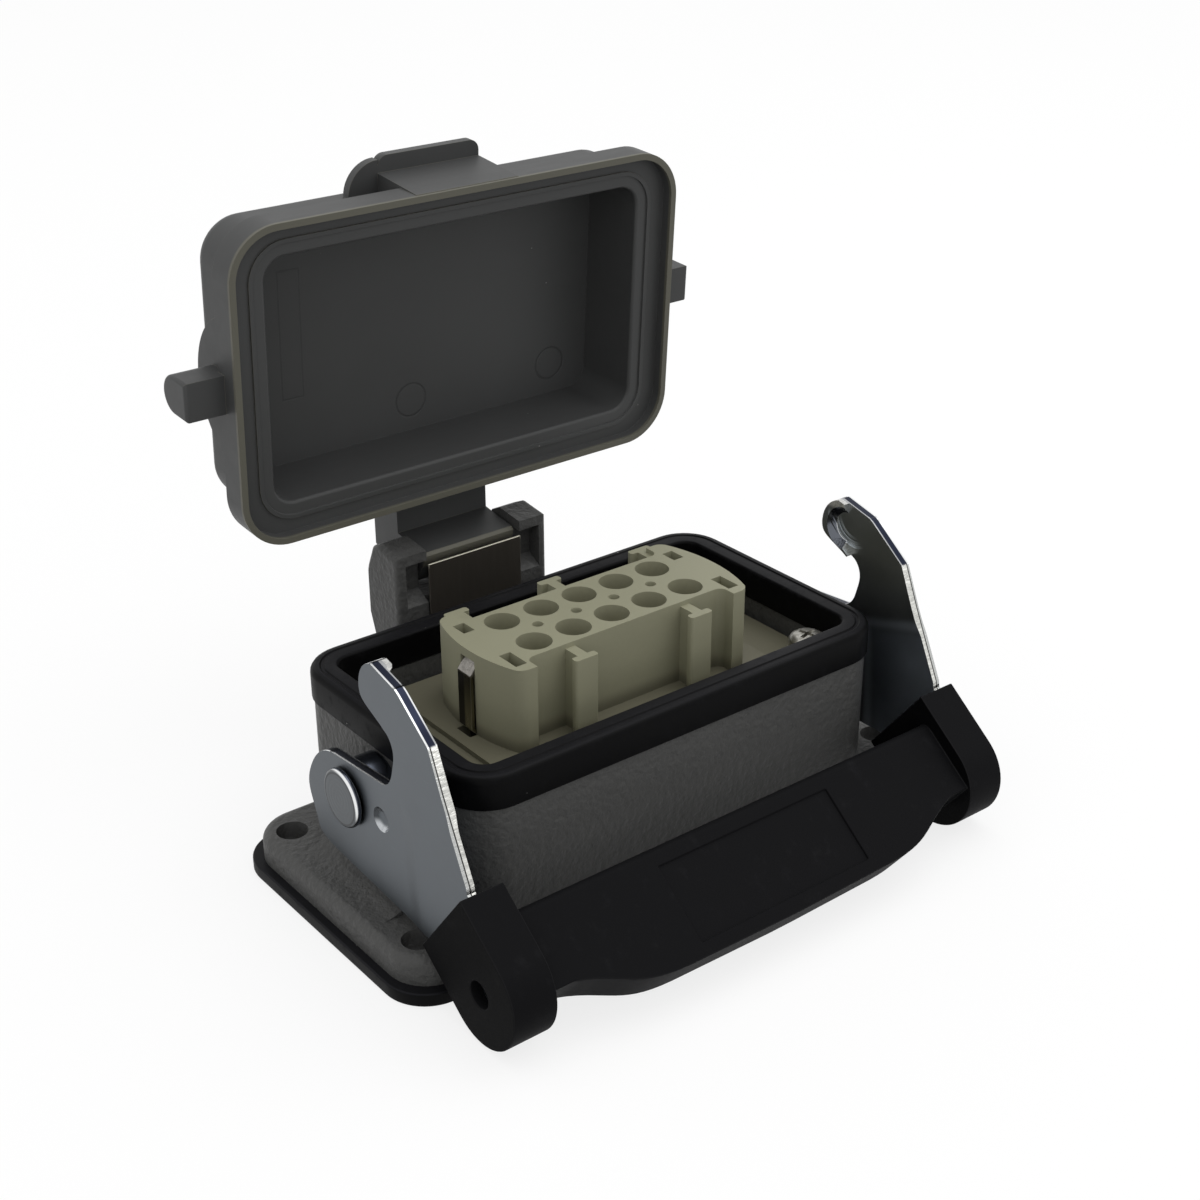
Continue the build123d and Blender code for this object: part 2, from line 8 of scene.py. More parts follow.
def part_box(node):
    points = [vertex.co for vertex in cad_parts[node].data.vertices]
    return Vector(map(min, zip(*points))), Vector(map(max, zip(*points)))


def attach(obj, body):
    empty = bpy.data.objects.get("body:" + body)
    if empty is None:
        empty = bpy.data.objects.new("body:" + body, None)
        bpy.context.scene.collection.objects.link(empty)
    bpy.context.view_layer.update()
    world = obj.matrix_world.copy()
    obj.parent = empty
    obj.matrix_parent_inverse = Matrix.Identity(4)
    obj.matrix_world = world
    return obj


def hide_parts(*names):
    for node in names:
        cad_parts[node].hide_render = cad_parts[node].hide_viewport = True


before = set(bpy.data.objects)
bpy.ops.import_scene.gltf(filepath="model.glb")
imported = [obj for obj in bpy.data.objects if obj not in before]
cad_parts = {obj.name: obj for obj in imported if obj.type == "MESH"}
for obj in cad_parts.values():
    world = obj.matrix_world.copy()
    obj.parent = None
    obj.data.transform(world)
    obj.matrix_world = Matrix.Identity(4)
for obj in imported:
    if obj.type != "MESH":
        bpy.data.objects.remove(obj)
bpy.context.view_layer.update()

bl_info = {
    "name": "Rectangular connector",
    "version": (1, 0, 0),
    "blender": (4, 5, 0),
    "location": "3D View > Sidebar > Connector",
    "description": "Dresses the bulkhead housing, its insert, lever and cover",
    "category": "Object",
}

MM = 0.001
WEAR = "wear"
SEED = 7

# Limits for points that are joined, for flat meetings and for sharp edges
WELD = 0.002 * MM
FLAT_ANGLE = math.radians(0.5)
SHARP_ANGLE = math.radians(32.0)

# The photograph's view, in millimetres and degrees
VIEW_AZIMUTH = -38.205
VIEW_ELEVATION = 26.602
VIEW_ROLL = -0.120
VIEW_DISTANCE = 278.80
VIEW_AIM = (0.60, 31.69)
VIEW_FOCAL_SHARE = 1.5727
SENSOR = 36.0

# The open cover: the way into it, how far its mouth lies along that way, and its marks
COVER_INWARD = (0.0, 0.9981, 0.0610)
COVER_MOUTH = 32.75
COVER_FLOOR = 13.3
COVER_EJECTORS = ((-1.55, 42.91, 52.82), (24.44, 42.90, 52.97))
COVER_INSET = (-21.6, 42.0, 67.4)
INSET_HALF = 1.7
INSET_LONG = 7.9
EJECTOR_RADIUS = 2.6

# Heights between which a finish changes; the insert's first pair bounds the painted shade at its
# foot, its second the painted light on its top faces
INSERT_FOOT_SHADE = (22.6, 25.0)
INSERT_LIT_TOP = (34.0, 34.6)
BLADE_TARNISH = (24.0, 32.0)
BLADE_CAP = (31.2, 31.6)
SPRING_TOP = (31.6, 32.1)
CURL_TOP = (41.0, 41.6)

# The lever plates, seen from the side as (y, z)
PIVOT = (0.0, 0.0, 19.6)
PLATE_INNER = 39.9
PLATE_OUTER = 41.35
PIN_RING = 3.6
HOOK_MIDDLE = (0.0, -10.5, 40.2)
HOOK_ARCS = (2.9, 3.6, 4.2)
# The way and start of the painted highlights on the hook's arcs
ARC_LIGHT_WAY = (0.0, 0.6, -0.8)
ARC_LIGHT_START = (-36.8, -35.0)
DIMPLE = (0.0, -8.3, 20.2)
CREASE_CORNER = (-14.6, 24.6)
CREASE_FRONT = (-24.7, 27.8)
CREASE_FOOT = (-16.0, 7.0)
CREASE_HALF = 1.6
PANEL_STEP = 0.36
OUTER_SHARE = 0.5
SHEAR_TOP = 36.2

# How far the rim seal's top stays under the ridge of the shut cover
SEAL_CLEARANCE = 0.05

# Edge roundings of the small steel pieces, and how much a slot is longer than its screw is wide
PIN_ROUNDING = 0.2
SPRING_ROUNDING = 0.1
BLADE_ROUNDING = 0.12
SLOT_PAST = 1.0

# The way to the lamp, the floor's half width in metres and its drop in millimetres
LAMP_WAY = (0.25, -0.14, 0.9)
FLOOR_HALF = 3.0
FLOOR_DROP = 0.02


def settings():
    return bpy.context.scene.connector


# Node trees

class Flow:
    """A socket of a node tree. Arithmetic on it adds Math nodes."""

    def __init__(self, graph, socket):
        self.graph = graph
        self.socket = socket

    def maths(self, operation, *values):
        return self.graph.node("ShaderNodeMath", {"operation": operation}, values)

    def __add__(self, other):
        return self.maths("ADD", self, other)

    def __sub__(self, other):
        return self.maths("SUBTRACT", self, other)

    def __rsub__(self, other):
        return self.maths("SUBTRACT", other, self)

    def __mul__(self, other):
        return self.maths("MULTIPLY", self, other)

    def __abs__(self):
        return self.maths("ABSOLUTE", self)

    def below(self, other):
        return self.maths("LESS_THAN", self, other)

    def most(self, other):
        return self.maths("MAXIMUM", self, other)

    def least(self, other):
        return self.maths("MINIMUM", self, other)

    def sine(self):
        return self.maths("SINE", self)

    __radd__ = __add__
    __rmul__ = __mul__


def opaque(colour):
    """A colour as a socket takes it. One that comes from a node stays as it is."""
    return colour if isinstance(colour, Flow) else (*colour, 1.0)


class Graph:
    """A node tree that is filled node by node."""

    def node(self, kind, settings=None, values=(), out=0):
        made = self.tree.nodes.new(kind)
        for name, value in (settings or {}).items():
            setattr(made, name, value)
        pairs = values.items() if isinstance(values, dict) else enumerate(values)
        for key, value in pairs:
            if isinstance(value, Flow):
                self.tree.links.new(value.socket, made.inputs[key])
            else:
                made.inputs[key].default_value = value
        return Flow(self, made.outputs[out])

    def vector(self, operation, *values, out=0):
        return self.node("ShaderNodeVectorMath", {"operation": operation}, values, out)

    def axis(self, vector, letter):
        return self.node("ShaderNodeSeparateXYZ", None, (vector,), out=letter)

    def end_in(self, kind, socket, flow):
        output = self.tree.nodes.new(kind)
        self.tree.links.new(flow.socket, output.inputs[socket])


class Paint(Graph):
    """One material. Its coordinates are the object's own, in millimetres."""

    def __init__(self, name):
        self.material = bpy.data.materials.new(name)
        self.material.use_nodes = True
        self.tree = self.material.node_tree
        self.tree.nodes.clear()
        own = self.node("ShaderNodeTexCoord", out="Object")
        self.place = self.vector("MULTIPLY", own, (1 / MM, 1 / MM, 1 / MM))

    def at(self, letter):
        """Where a place lies along one of the object's axes, in millimetres."""
        return self.axis(self.place, letter)

    def noise(self, per_mm, detail=2.0, rough=0.5, factors=None):
        where = self.vector("MULTIPLY", self.place, factors) if factors else self.place
        values = {"Vector": where, "Scale": per_mm, "Detail": detail, "Roughness": rough}
        return self.node("ShaderNodeTexNoise", None, values)

    def fade(self, value, low, high):
        """0 below low, 1 above high, smooth between."""
        kind = {"interpolation_type": "SMOOTHSTEP"}
        return self.node("ShaderNodeMapRange", kind, (value, low, high, 0.0, 1.0))

    def mix(self, share, first, second):
        values = {0: share, 6: opaque(first), 7: opaque(second)}
        return self.node("ShaderNodeMix", {"data_type": "RGBA"}, values, out=2)

    def tone(self, colour, amount):
        """The colour made lighter or darker by a factor."""
        base = self.node("ShaderNodeCombineColor", None, (amount, amount, amount))
        kind = {"data_type": "RGBA", "blend_type": "MULTIPLY"}
        return self.node("ShaderNodeMix", kind, {0: 1.0, 6: opaque(colour), 7: base}, out=2)

    def wear(self):
        return self.node("ShaderNodeAttribute", {"attribute_name": WEAR}, out="Fac")

    def facing(self, letter):
        """How far the surface faces along one of the object's axes, -1 to 1."""
        return self.axis(self.node("ShaderNodeTexCoord", out="Normal"), letter)

    def distance(self, middle, factors=(1, 1, 1)):
        """Distance in millimetres from a point. A factor of 0 leaves an axis out."""
        off = self.vector("SUBTRACT", self.place, middle)
        return self.vector("LENGTH", self.vector("MULTIPLY", off, factors), out="Value")

    def along(self, direction):
        """Distance in millimetres from the origin along a direction."""
        return self.vector("DOT_PRODUCT", self.place, direction, out="Value")

    def ring(self, distance, radius, width):
        """1 on a thin ring, 0 off it."""
        return 1 - self.fade(abs(distance - radius), width / 2, width)

    def specks(self, per_mm, size, share):
        """Sparse round dots: grains of which only a share shows."""
        values = {"Vector": self.place, "Scale": per_mm}
        dots = self.node("ShaderNodeTexVoronoi", None, values, out="Distance").below(size)
        cell = self.node("ShaderNodeTexVoronoi", None, values, out="Color")
        chosen = self.axis(cell, "X").below(share)
        return dots * chosen

    def skin(self, colour, roughness, metallic=0.0, height=None, gloss=0.5):
        """The shader itself. Height is in millimetres."""
        values = {"Base Color": opaque(colour), "Roughness": roughness, "Metallic": metallic}
        if height is not None:
            bump = {"Strength": 1.0, "Distance": MM, "Height": height}
            values["Normal"] = self.node("ShaderNodeBump", None, bump)
        shader = self.node("ShaderNodeBsdfPrincipled", None, values)
        shader.socket.node.inputs["Specular IOR Level"].default_value = gloss
        return shader

    def end(self, shader):
        self.end_in("ShaderNodeOutputMaterial", "Surface", shader)
        return self.material

    def finish(self, *values, **named):
        return self.end(self.skin(*values, **named))


# Finishes

def casting_coat():
    """Grey coat with an orange peel skin, chipped to bright metal on its edges; the bright edges
    are partly a painted highlight.
    """
    paint = Paint("casting_coat")
    bare_metal = (0.34, 0.34, 0.32)
    dent_floor = (0.25, 0.25, 0.24)
    peel = paint.noise(1.0)
    fine = paint.noise(2.8, detail=3.0)
    patches = paint.noise(0.07, detail=3.0)
    # Chips on the edges show bright metal: partly wear, partly a painted highlight on the edges.
    chips_and_sheen = paint.wear() * paint.fade(paint.noise(1.3, detail=4.0, rough=0.7), 0.46, 0.54)
    dents = paint.specks(0.22, size=0.05, share=0.12)
    tone = 0.84 + patches * 0.2 + peel * 0.1
    base = paint.mix(chips_and_sheen, paint.tone(settings().casting.colour, tone), bare_metal)
    base = paint.mix(dents * 0.6, base, dent_floor)
    height = peel * 0.26 + fine * 0.03 - chips_and_sheen * 0.02
    return paint.finish(base, 0.4 + peel * 0.2, chips_and_sheen * 0.7, height, gloss=0.25)


def black_rubber():
    """Smooth rubber with faint scuffs, a few pale specks, rubbed edges that are partly a painted
    highlight, and painted light on its top faces.
    """
    paint = Paint("black_rubber")
    dust_grey = (0.3, 0.3, 0.29)
    rubbed = (0.035, 0.035, 0.042)
    scuffs = paint.fade(paint.noise(0.5, detail=5.0, rough=0.7), 0.5, 0.75)
    dust = paint.specks(0.35, size=0.035, share=0.3)
    # Faces turned upwards are painted lighter: painted light from above.
    painted_top_light = paint.fade(paint.facing("Z"), 0.8, 0.98)
    base = paint.tone(settings().seals.colour, 0.35 + scuffs * 0.5 + painted_top_light * 1.2)
    base = paint.mix(dust, base, dust_grey)
    # Rubbed edges: partly wear, partly a painted highlight on the rounded edges.
    base = paint.mix(paint.wear() * 0.35, base, rubbed)
    height = paint.noise(1.2, detail=3.0) * 0.008 + dust * 0.03
    return paint.finish(base, 0.42 + scuffs * 0.2, 0.0, height, gloss=0.06)


def handle_plastic():
    """Black moulding with a fine spark eroded grain, painted shade on its sides and rubbed edges
    that are partly a painted highlight.
    """
    paint = Paint("handle_plastic")
    dust_grey = (0.12, 0.12, 0.12)
    rubbed = (0.03, 0.03, 0.031)
    grain = paint.noise(4.5, detail=4.0, rough=0.6)
    rubbing = paint.noise(0.35, detail=6.0, rough=0.7, factors=(1, 0.5, 1))
    scuffs = paint.fade(rubbing, 0.55, 0.8)
    # Faces turned along X are painted darker: painted shade on the handle's sides.
    sides = paint.fade(abs(paint.facing("X")), 0.6, 0.95)
    tone = 0.85 + scuffs * 0.5 + grain * 0.2 - sides * 0.6
    base = paint.tone(settings().lever.handle_colour, tone)
    base = paint.mix(paint.specks(0.16, size=0.03, share=0.2), base, dust_grey)
    # Rubbed edges: partly wear, partly a painted highlight on the rounded edges.
    base = paint.mix(paint.wear() * 0.4, base, rubbed)
    rough = 0.5 + grain * 0.12 - scuffs * 0.08
    height = grain * 0.03 + paint.noise(0.3) * 0.03
    return paint.finish(base, rough, 0.0, height, gloss=0.03)


def cover_plastic():
    """Satin slate moulding: olive lip and worn edges, the edges partly a painted highlight, faint
    marks of the mould inside.
    """
    paint = Paint("cover_plastic")
    cover = settings().cover
    grit_grey = (0.28, 0.28, 0.27)
    mark_shade = (0.02, 0.02, 0.02)
    depth = paint.along(COVER_INWARD) - COVER_MOUTH
    cloudy = paint.noise(0.06, detail=3.0)
    streaks = paint.noise(0.5, detail=4.0, rough=0.65, factors=(0.25, 1.0, 1.0))
    grit = paint.specks(0.3, size=0.03, share=0.25)
    lip = 1 - paint.fade(depth, 0.3, 0.7)
    # Worn edges in the edge colour: partly wear, partly a painted highlight on the rounded edges.
    edge = paint.wear() * (0.6 + paint.noise(0.8, detail=3.0) * 0.7)
    marks = mould_marks(paint, depth)
    base = paint.tone(cover.colour, 0.9 + cloudy * 0.2 + streaks * 0.08)
    base = paint.mix(edge.most(lip * 0.75), base, cover.edge_colour)
    base = paint.mix(grit * 0.7, base, grit_grey)
    base = paint.mix(marks * 0.35, base, mark_shade)
    height = paint.noise(1.4, detail=3.0) * 0.008 + streaks * 0.008 - marks * 0.05
    return paint.finish(base, 0.4 + streaks * 0.16, 0.0, height, gloss=0.25)


def mould_marks(paint, depth):
    """The lines of two ejector pins and of a long inset on the floor of the cover."""
    floor = paint.fade(depth, COVER_FLOOR - 0.2, COVER_FLOOR - 0.05)
    floor = floor * (1 - paint.fade(depth, COVER_FLOOR + 0.1, COVER_FLOOR + 0.3))
    aside = paint.distance(COVER_INSET, (1, 0, 0))
    beyond = paint.distance(COVER_INSET, (0, 0, 1)) - INSET_LONG
    marks = paint.ring(aside.most(beyond), INSET_HALF, 0.16) * 0.6
    for spot in COVER_EJECTORS:
        marks = marks.most(paint.ring(paint.distance(spot), EJECTOR_RADIUS, 0.2))
    return marks * floor


def insert_plastic():
    """Beige glass filled moulding, paler and yellower on its edges, partly a painted highlight
    there, with painted shade at its foot and painted light on its top faces.
    """
    paint = Paint("insert_plastic")
    insert = settings().insert
    foot_shade_colour = (0.115, 0.108, 0.075)
    fibres = paint.noise(1.6, detail=4.0, rough=0.7)
    clouds = paint.noise(0.12, detail=3.0)
    up = paint.at("Z")
    # The lower part is painted darker: painted shade at the foot.
    painted_foot_shade = 1 - paint.fade(up, *INSERT_FOOT_SHADE)
    # Top faces are painted lighter: painted light from above.
    painted_top_light = paint.fade(paint.facing("Z"), 0.9, 0.98) * paint.fade(up, *INSERT_LIT_TOP)
    base = paint.tone(insert.colour, 0.88 + clouds * 0.16 + fibres * 0.1)
    base = paint.mix(painted_foot_shade * 0.85, base, foot_shade_colour)
    base = paint.mix(painted_top_light * 0.5, base, insert.lit_top_colour)
    # Pale edges: partly the moulding's own colour, partly a painted highlight on the rounded edges.
    base = paint.mix(paint.wear() * 0.8, base, insert.edge_colour)
    return paint.finish(base, 0.46 + fibres * 0.14, 0.0, fibres * 0.014, gloss=0.35)


def zinc_sheet():
    """Zinc plated sheet: blue grey faces with painted light and shade, painted highlights on its
    outlines, a granular sheared front edge.
    """
    paint = Paint("zinc_sheet")
    arc_highlight_blue = (0.62, 0.68, 0.76)
    curl_silver = (0.8, 0.8, 0.78)
    across = paint.at("X")
    up = paint.at("Z")
    face = paint.fade(abs(paint.facing("X")), 0.86, 0.96)
    inner = (paint.facing("X") * across).below(0)
    stains = paint.noise(0.14, detail=4.0, rough=0.6)
    scored = paint.noise(1.0, detail=5.0, rough=0.75, factors=(1, 0.12, 2.2))
    scratches = paint.fade(scored, 0.6, 0.72)
    cut = paint.noise(3.4, detail=3.0, rough=0.6, factors=(0.2, 1.0, 1.0))
    sheared = (1 - paint.fade(up, SHEAR_TOP, SHEAR_TOP + 0.3)) * paint.facing("Y").below(0)
    arc_ridges_and_highlights = hook_arc_highlights(paint) * inner
    faces = paint.mix(inner, outer_face(paint, stains, scratches), inner_face(paint, stains))
    # The arcs are painted in a highlight colour.
    faces = paint.mix(arc_ridges_and_highlights, faces, arc_highlight_blue)
    edges = sheet_edges(paint, stains, cut, sheared)
    base = paint.mix(face, punched(paint, edges), faces)
    curl = abs(across).below(PLATE_INNER - 0.2) * paint.fade(up, *CURL_TOP)
    base = paint.mix(curl, base, paint.tone(curl_silver, 0.2 + cut * 1.2))
    rough = 0.24 + face * (0.1 + stains * 0.12) + scratches * 0.08
    height = (1 - face) * sheared * cut * 0.16 + stains * 0.02 + arc_ridges_and_highlights * 0.04
    return paint.finish(base, rough, 1.0, height)


def outer_face(paint, stains, scratches):
    """The outside of a lever plate, with painted shade round the pin."""
    # Behind the pin the plate is painted darker: painted shade.
    painted_lobe_shade = paint.fade(paint.at("Y"), -6.0, 4.0) * 0.12
    tone = 0.76 + stains * 0.3 + scratches * 0.25 - painted_lobe_shade
    return paint.tone(settings().lever.plate_colour, tone)


def inner_face(paint, stains):
    """The inside of a lever plate: painted shade in olive behind, painted light in blue on the
    panel, a painted highlight on the crease.
    """
    painted_shade_olive = (0.19, 0.2, 0.2)
    lit_panel_blue = (0.32, 0.355, 0.4)
    crease_highlight_blue = (0.75, 0.82, 0.9)
    bend = crease_depth(paint)
    # A painted highlight along the crease, and painted shade behind it against painted light on the
    # panel.
    crease_highlight = 1 - paint.fade(abs(bend + 0.4), 0.1, 1.3)
    shaded = paint.mix(paint.fade(bend, -2.0, 2.0), painted_shade_olive, lit_panel_blue)
    shaded = paint.mix(crease_highlight * 0.5, shaded, crease_highlight_blue)
    return paint.tone(shaded, 0.9 + stains * 0.4)


def hook_arc_highlights(paint):
    """Thin arcs pressed into the inside of the hook, with painted highlights on the side turned to
    the light.
    """
    around = paint.distance(HOOK_MIDDLE, (0, 1, 1))
    arc_ridges_and_highlights = paint.ring(around, HOOK_ARCS[0], 0.3)
    for radius in HOOK_ARCS[1:]:
        arc_ridges_and_highlights = arc_ridges_and_highlights.most(paint.ring(around, radius, 0.3))
    # Only the arcs on the side turned to the light get their painted highlight.
    return arc_ridges_and_highlights * paint.fade(paint.along(ARC_LIGHT_WAY), *ARC_LIGHT_START)


def sheet_edges(paint, stains, cut, sheared):
    """The cut edge: granular where it was sheared, a painted dark reflection above, painted
    highlights along its outlines.
    """
    reflection_blue = (0.022, 0.026, 0.044)
    outline_highlight = (0.85, 0.86, 0.86)
    grain_silver = (0.8, 0.8, 0.76)
    grain_highlight = (0.5, 0.51, 0.5)
    burr_shade = (0.05, 0.05, 0.05)
    rim_highlight = (0.6, 0.61, 0.61)
    rim_shade = (0.13, 0.14, 0.16)
    across = abs(paint.at("X"))
    near_face = paint.fade(across, PLATE_OUTER - 0.3, PLATE_OUTER - 0.2)
    far_face = 1 - paint.fade(across, PLATE_INNER + 0.2, PLATE_INNER + 0.3)
    # Painted highlights along the outlines of the cut edge; the dark blue is a painted reflection.
    highlight_outlines = near_face.most(far_face * 0.5)
    painted_mirror = paint.mix(highlight_outlines, paint.tone(reflection_blue, 0.5 + stains), outline_highlight)
    granular = paint.mix(near_face, paint.tone(grain_silver, 0.15 + cut * 1.3), grain_highlight)
    granular = paint.mix(paint.ring(across, PLATE_OUTER - 0.37, 0.13), granular, burr_shade)
    # The rounded rim: a painted highlight outside the curl, painted shade inside it.
    rim = paint.mix(across.below(PLATE_INNER), rim_highlight, rim_shade)
    side = 1 - paint.fade(abs(paint.facing("X")), 0.25, 0.5)
    return paint.mix(side, rim, paint.mix(sheared, painted_mirror, granular))


def punched(paint, around):
    """The dimple in a lever plate: painted light on its upper slope, painted shade on its lower,
    and the colour around it outside.
    """
    shaded_slope = (0.06, 0.065, 0.07)
    lit_slope = (0.5, 0.52, 0.54)
    dimple = 1 - paint.fade(paint.distance(DIMPLE, (0, 1, 1)), 2.0, 2.4)
    # Upper slope painted light, lower slope painted shade.
    slope_light = paint.mix(paint.fade(paint.facing("Z"), 0.1, 0.5), shaded_slope, lit_slope)
    return paint.mix(dimple, around, slope_light)


def crease_depth(paint):
    """How far a place lies in front of both creases of a lever plate, in millimetres."""
    depths = [paint.along(inward) - start.dot(inward) for start, inward in plate_creases()]
    return depths[0].least(depths[1])


def turned_steel():
    """Plated steel pin: dull faces with turning marks and a dark ring, a painted highlight on the
    upper side of its rim and painted shade below.
    """
    paint = Paint("turned_steel")
    shank_blue = (0.09, 0.1, 0.125)
    face_grey = (0.1, 0.108, 0.115)
    rim_shade = (0.1, 0.105, 0.11)
    rim_light = (0.85, 0.86, 0.86)
    ring_shade = (0.03, 0.03, 0.03)
    outward_share = abs(paint.facing("X"))
    face = paint.fade(outward_share, 0.9, 0.98)
    rim = paint.fade(outward_share, 0.3, 0.5) * (1 - face)
    lit = paint.fade(paint.facing("Z") - paint.facing("Y"), 0.2, 0.7)
    around = paint.distance(PIVOT, (0, 1, 1))
    marks = (around * 9.0).sine()
    stains = paint.noise(0.4, detail=4.0, rough=0.6)
    base = paint.mix(face, shank_blue, paint.tone(face_grey, 0.8 + stains * 0.4))
    # The rim is painted light where it faces up and painted shade elsewhere.
    base = paint.mix(rim, base, paint.mix(lit, rim_shade, rim_light))
    base = paint.mix(paint.ring(around, PIN_RING, 0.16) * face * 0.6, base, ring_shade)
    return paint.finish(base, 0.2 + face * 0.15 + stains * 0.1, 1.0, marks * face * 0.004)


def spring_steel():
    """Dark polished spring sheet with a brown tinge and a bare top edge."""
    paint = Paint("spring_steel")
    brown = (0.1, 0.09, 0.076)
    bare_metal = (0.75, 0.72, 0.6)
    rolled = paint.noise(0.4, detail=4.0, rough=0.6, factors=(3, 3, 0.3))
    bare = paint.wear() * paint.fade(paint.at("Z"), *SPRING_TOP)
    bare = bare.most(paint.fade(paint.facing("Z"), 0.5, 0.8))
    base = paint.mix(bare, paint.tone(brown, 0.9 + rolled * 0.3), bare_metal)
    return paint.finish(base, 0.3 + rolled * 0.14, 0.75, rolled * 0.004)


def blade_steel():
    """Polished earth blade: a dark half, a tarnished half and a worn grey top."""
    paint = Paint("blade_steel")
    dark_side = (0.035, 0.033, 0.028)
    tarnish = (0.2, 0.185, 0.125)
    rubbed = (0.5, 0.48, 0.4)
    cap_grey = (0.3, 0.285, 0.26)
    rolled = paint.noise(0.3, detail=4.0, rough=0.6, factors=(3, 3, 0.4))
    worn = paint.noise(1.8, detail=4.0, rough=0.7)
    up = paint.at("Z")
    half = 1 - paint.fade(paint.at("Y") + rolled * 0.8, 0.1, 0.7)
    tarnished = paint.tone(tarnish, 0.5 + (1 - paint.fade(up, *BLADE_TARNISH)) * 0.8)
    cap = paint.fade(up, *BLADE_CAP)
    base = paint.mix(half, dark_side, tarnished)
    base = paint.mix(paint.wear() * 0.6, base, rubbed)
    base = paint.mix(cap, base, paint.tone(cap_grey, 0.3 + worn * 1.2))
    return paint.finish(base, 0.22 + rolled * 0.14, 1.0, rolled * 0.004 + worn * cap * 0.12)


def plated_contact():
    """Silver plated copper alloy, a little tarnished."""
    paint = Paint("plated_contact")
    silver = (0.66, 0.63, 0.56)
    brown = (0.42, 0.36, 0.24)
    tarnish = paint.noise(0.5, detail=4.0, rough=0.65)
    base = paint.mix(tarnish, silver, brown)
    return paint.finish(base, 0.22 + tarnish * 0.2, 1.0, tarnish * 0.004)


def screw_steel():
    """Dull plated screw steel with blotches of dirt."""
    paint = Paint("screw_steel")
    plated = (0.5, 0.49, 0.45)
    dirt = (0.26, 0.25, 0.22)
    blotches = paint.noise(0.9, detail=5.0, rough=0.7)
    base = paint.mix(paint.fade(blotches, 0.42, 0.6), plated, dirt)
    return paint.finish(base, 0.3 + blotches * 0.2, 1.0, blotches * 0.02)


PAINTS = {
    "housing_paint": casting_coat,
    "black_rubber": black_rubber,
    "handle_plastic": handle_plastic,
    "cover_plastic": cover_plastic,
    "insert_plastic": insert_plastic,
    "zinc_steel": zinc_sheet,
    "spring_steel": spring_steel,
    "contact_metal": plated_contact,
    "screw_steel": screw_steel,
    "turned_steel": turned_steel,
    "blade_steel": blade_steel,
}
made_paints = {}


def paint_for(slot):
    if slot not in made_paints:
        made_paints[slot] = PAINTS[slot]()
    return made_paints[slot]


# Geometry trees

SOCKETS = {float: "NodeSocketFloat", int: "NodeSocketInt", Vector: "NodeSocketVector",
           bpy.types.Object: "NodeSocketObject"}


class Recipe(Graph):
    """A geometry tree. Its sizes are named inputs and it ends in plain painted geometry."""

    def __init__(self, name, slot, **inputs):
        self.name = name
        self.slot = slot
        self.tree = bpy.data.node_groups.new(name, "GeometryNodeTree")
        add = self.tree.interface.new_socket
        add(name="Geometry", in_out="OUTPUT", socket_type="NodeSocketGeometry")
        self.values = {}
        for label, value in inputs.items():
            made = add(name=label, in_out="INPUT", socket_type=SOCKETS[type(value)])
            self.values[made.identifier] = value
        group = self.tree.nodes.new("NodeGroupInput")
        self.inputs = {label: Flow(self, group.outputs[label]) for label in inputs}

    def swept(self, path):
        """The section carried along a path."""
        drawn = {"Object": self.inputs["section"]}
        section = self.node("GeometryNodeObjectInfo", None, drawn, out="Geometry")
        return self.node("GeometryNodeCurveToMesh", None, (path, section))

    def make(self, geometry, used):
        """Ends the tree, runs it on an empty object and removes the object it used."""
        real = self.node("GeometryNodeRealizeInstances", None, (geometry,))
        finish = {"Geometry": real, "Material": paint_for(self.slot)}
        painted = self.node("GeometryNodeSetMaterial", None, finish)
        self.end_in("NodeGroupOutput", "Geometry", painted)
        piece = new_object(self.name, bpy.data.meshes.new(self.name))
        modifier = piece.modifiers.new(self.name, "NODES")
        modifier.node_group = self.tree
        for key, value in self.values.items():
            modifier[key] = value
        settle(piece)
        bpy.data.objects.remove(used)
        return outward(piece)


def rounded(points, steps=4):
    """Outline points from corners given as (out, up, radius) in millimetres."""
    places = []
    for index, (out, up, radius) in enumerate(points):
        corner = Vector((out, up))
        if radius == 0:
            places.append(corner)
            continue
        before = (Vector(points[index - 1][:2]) - corner).normalized()
        after = (Vector(points[(index + 1) % len(points)][:2]) - corner).normalized()
        half = before.angle(after) / 2
        middle = corner + (before + after).normalized() * radius / math.sin(half)
        start = corner + before * radius / math.tan(half) - middle
        end = corner + after * radius / math.tan(half) - middle
        for step in range(steps + 1):
            places.append(middle + start.lerp(end, step / steps).normalized() * radius)
    return places


def section_curve(points, closed, out_from=0.0):
    """A section for a sweep, measured outwards from its path."""
    data = bpy.data.curves.new("section", "CURVE")
    data.dimensions = "3D"
    line = data.splines.new("POLY")
    places = rounded(points)
    line.points.add(len(places) - 1)
    for point, (out, up) in zip(line.points, places):
        point.co = ((out - out_from) * MM, -up * MM, 0, 1)
    line.use_cyclic_u = closed
    return new_object("section", data)


def turned(name, slot, points, around=40):
    """A turned piece about the Z axis, from its half section."""
    path_radius = 1.0
    section = section_curve(points, False, path_radius)
    recipe = Recipe(name, slot, around=around, radius=path_radius * MM, section=section)
    circle = {"Resolution": recipe.inputs["around"], "Radius": recipe.inputs["radius"]}
    path = recipe.node("GeometryNodeCurvePrimitiveCircle", None, circle)
    return recipe.make(recipe.swept(path), section)


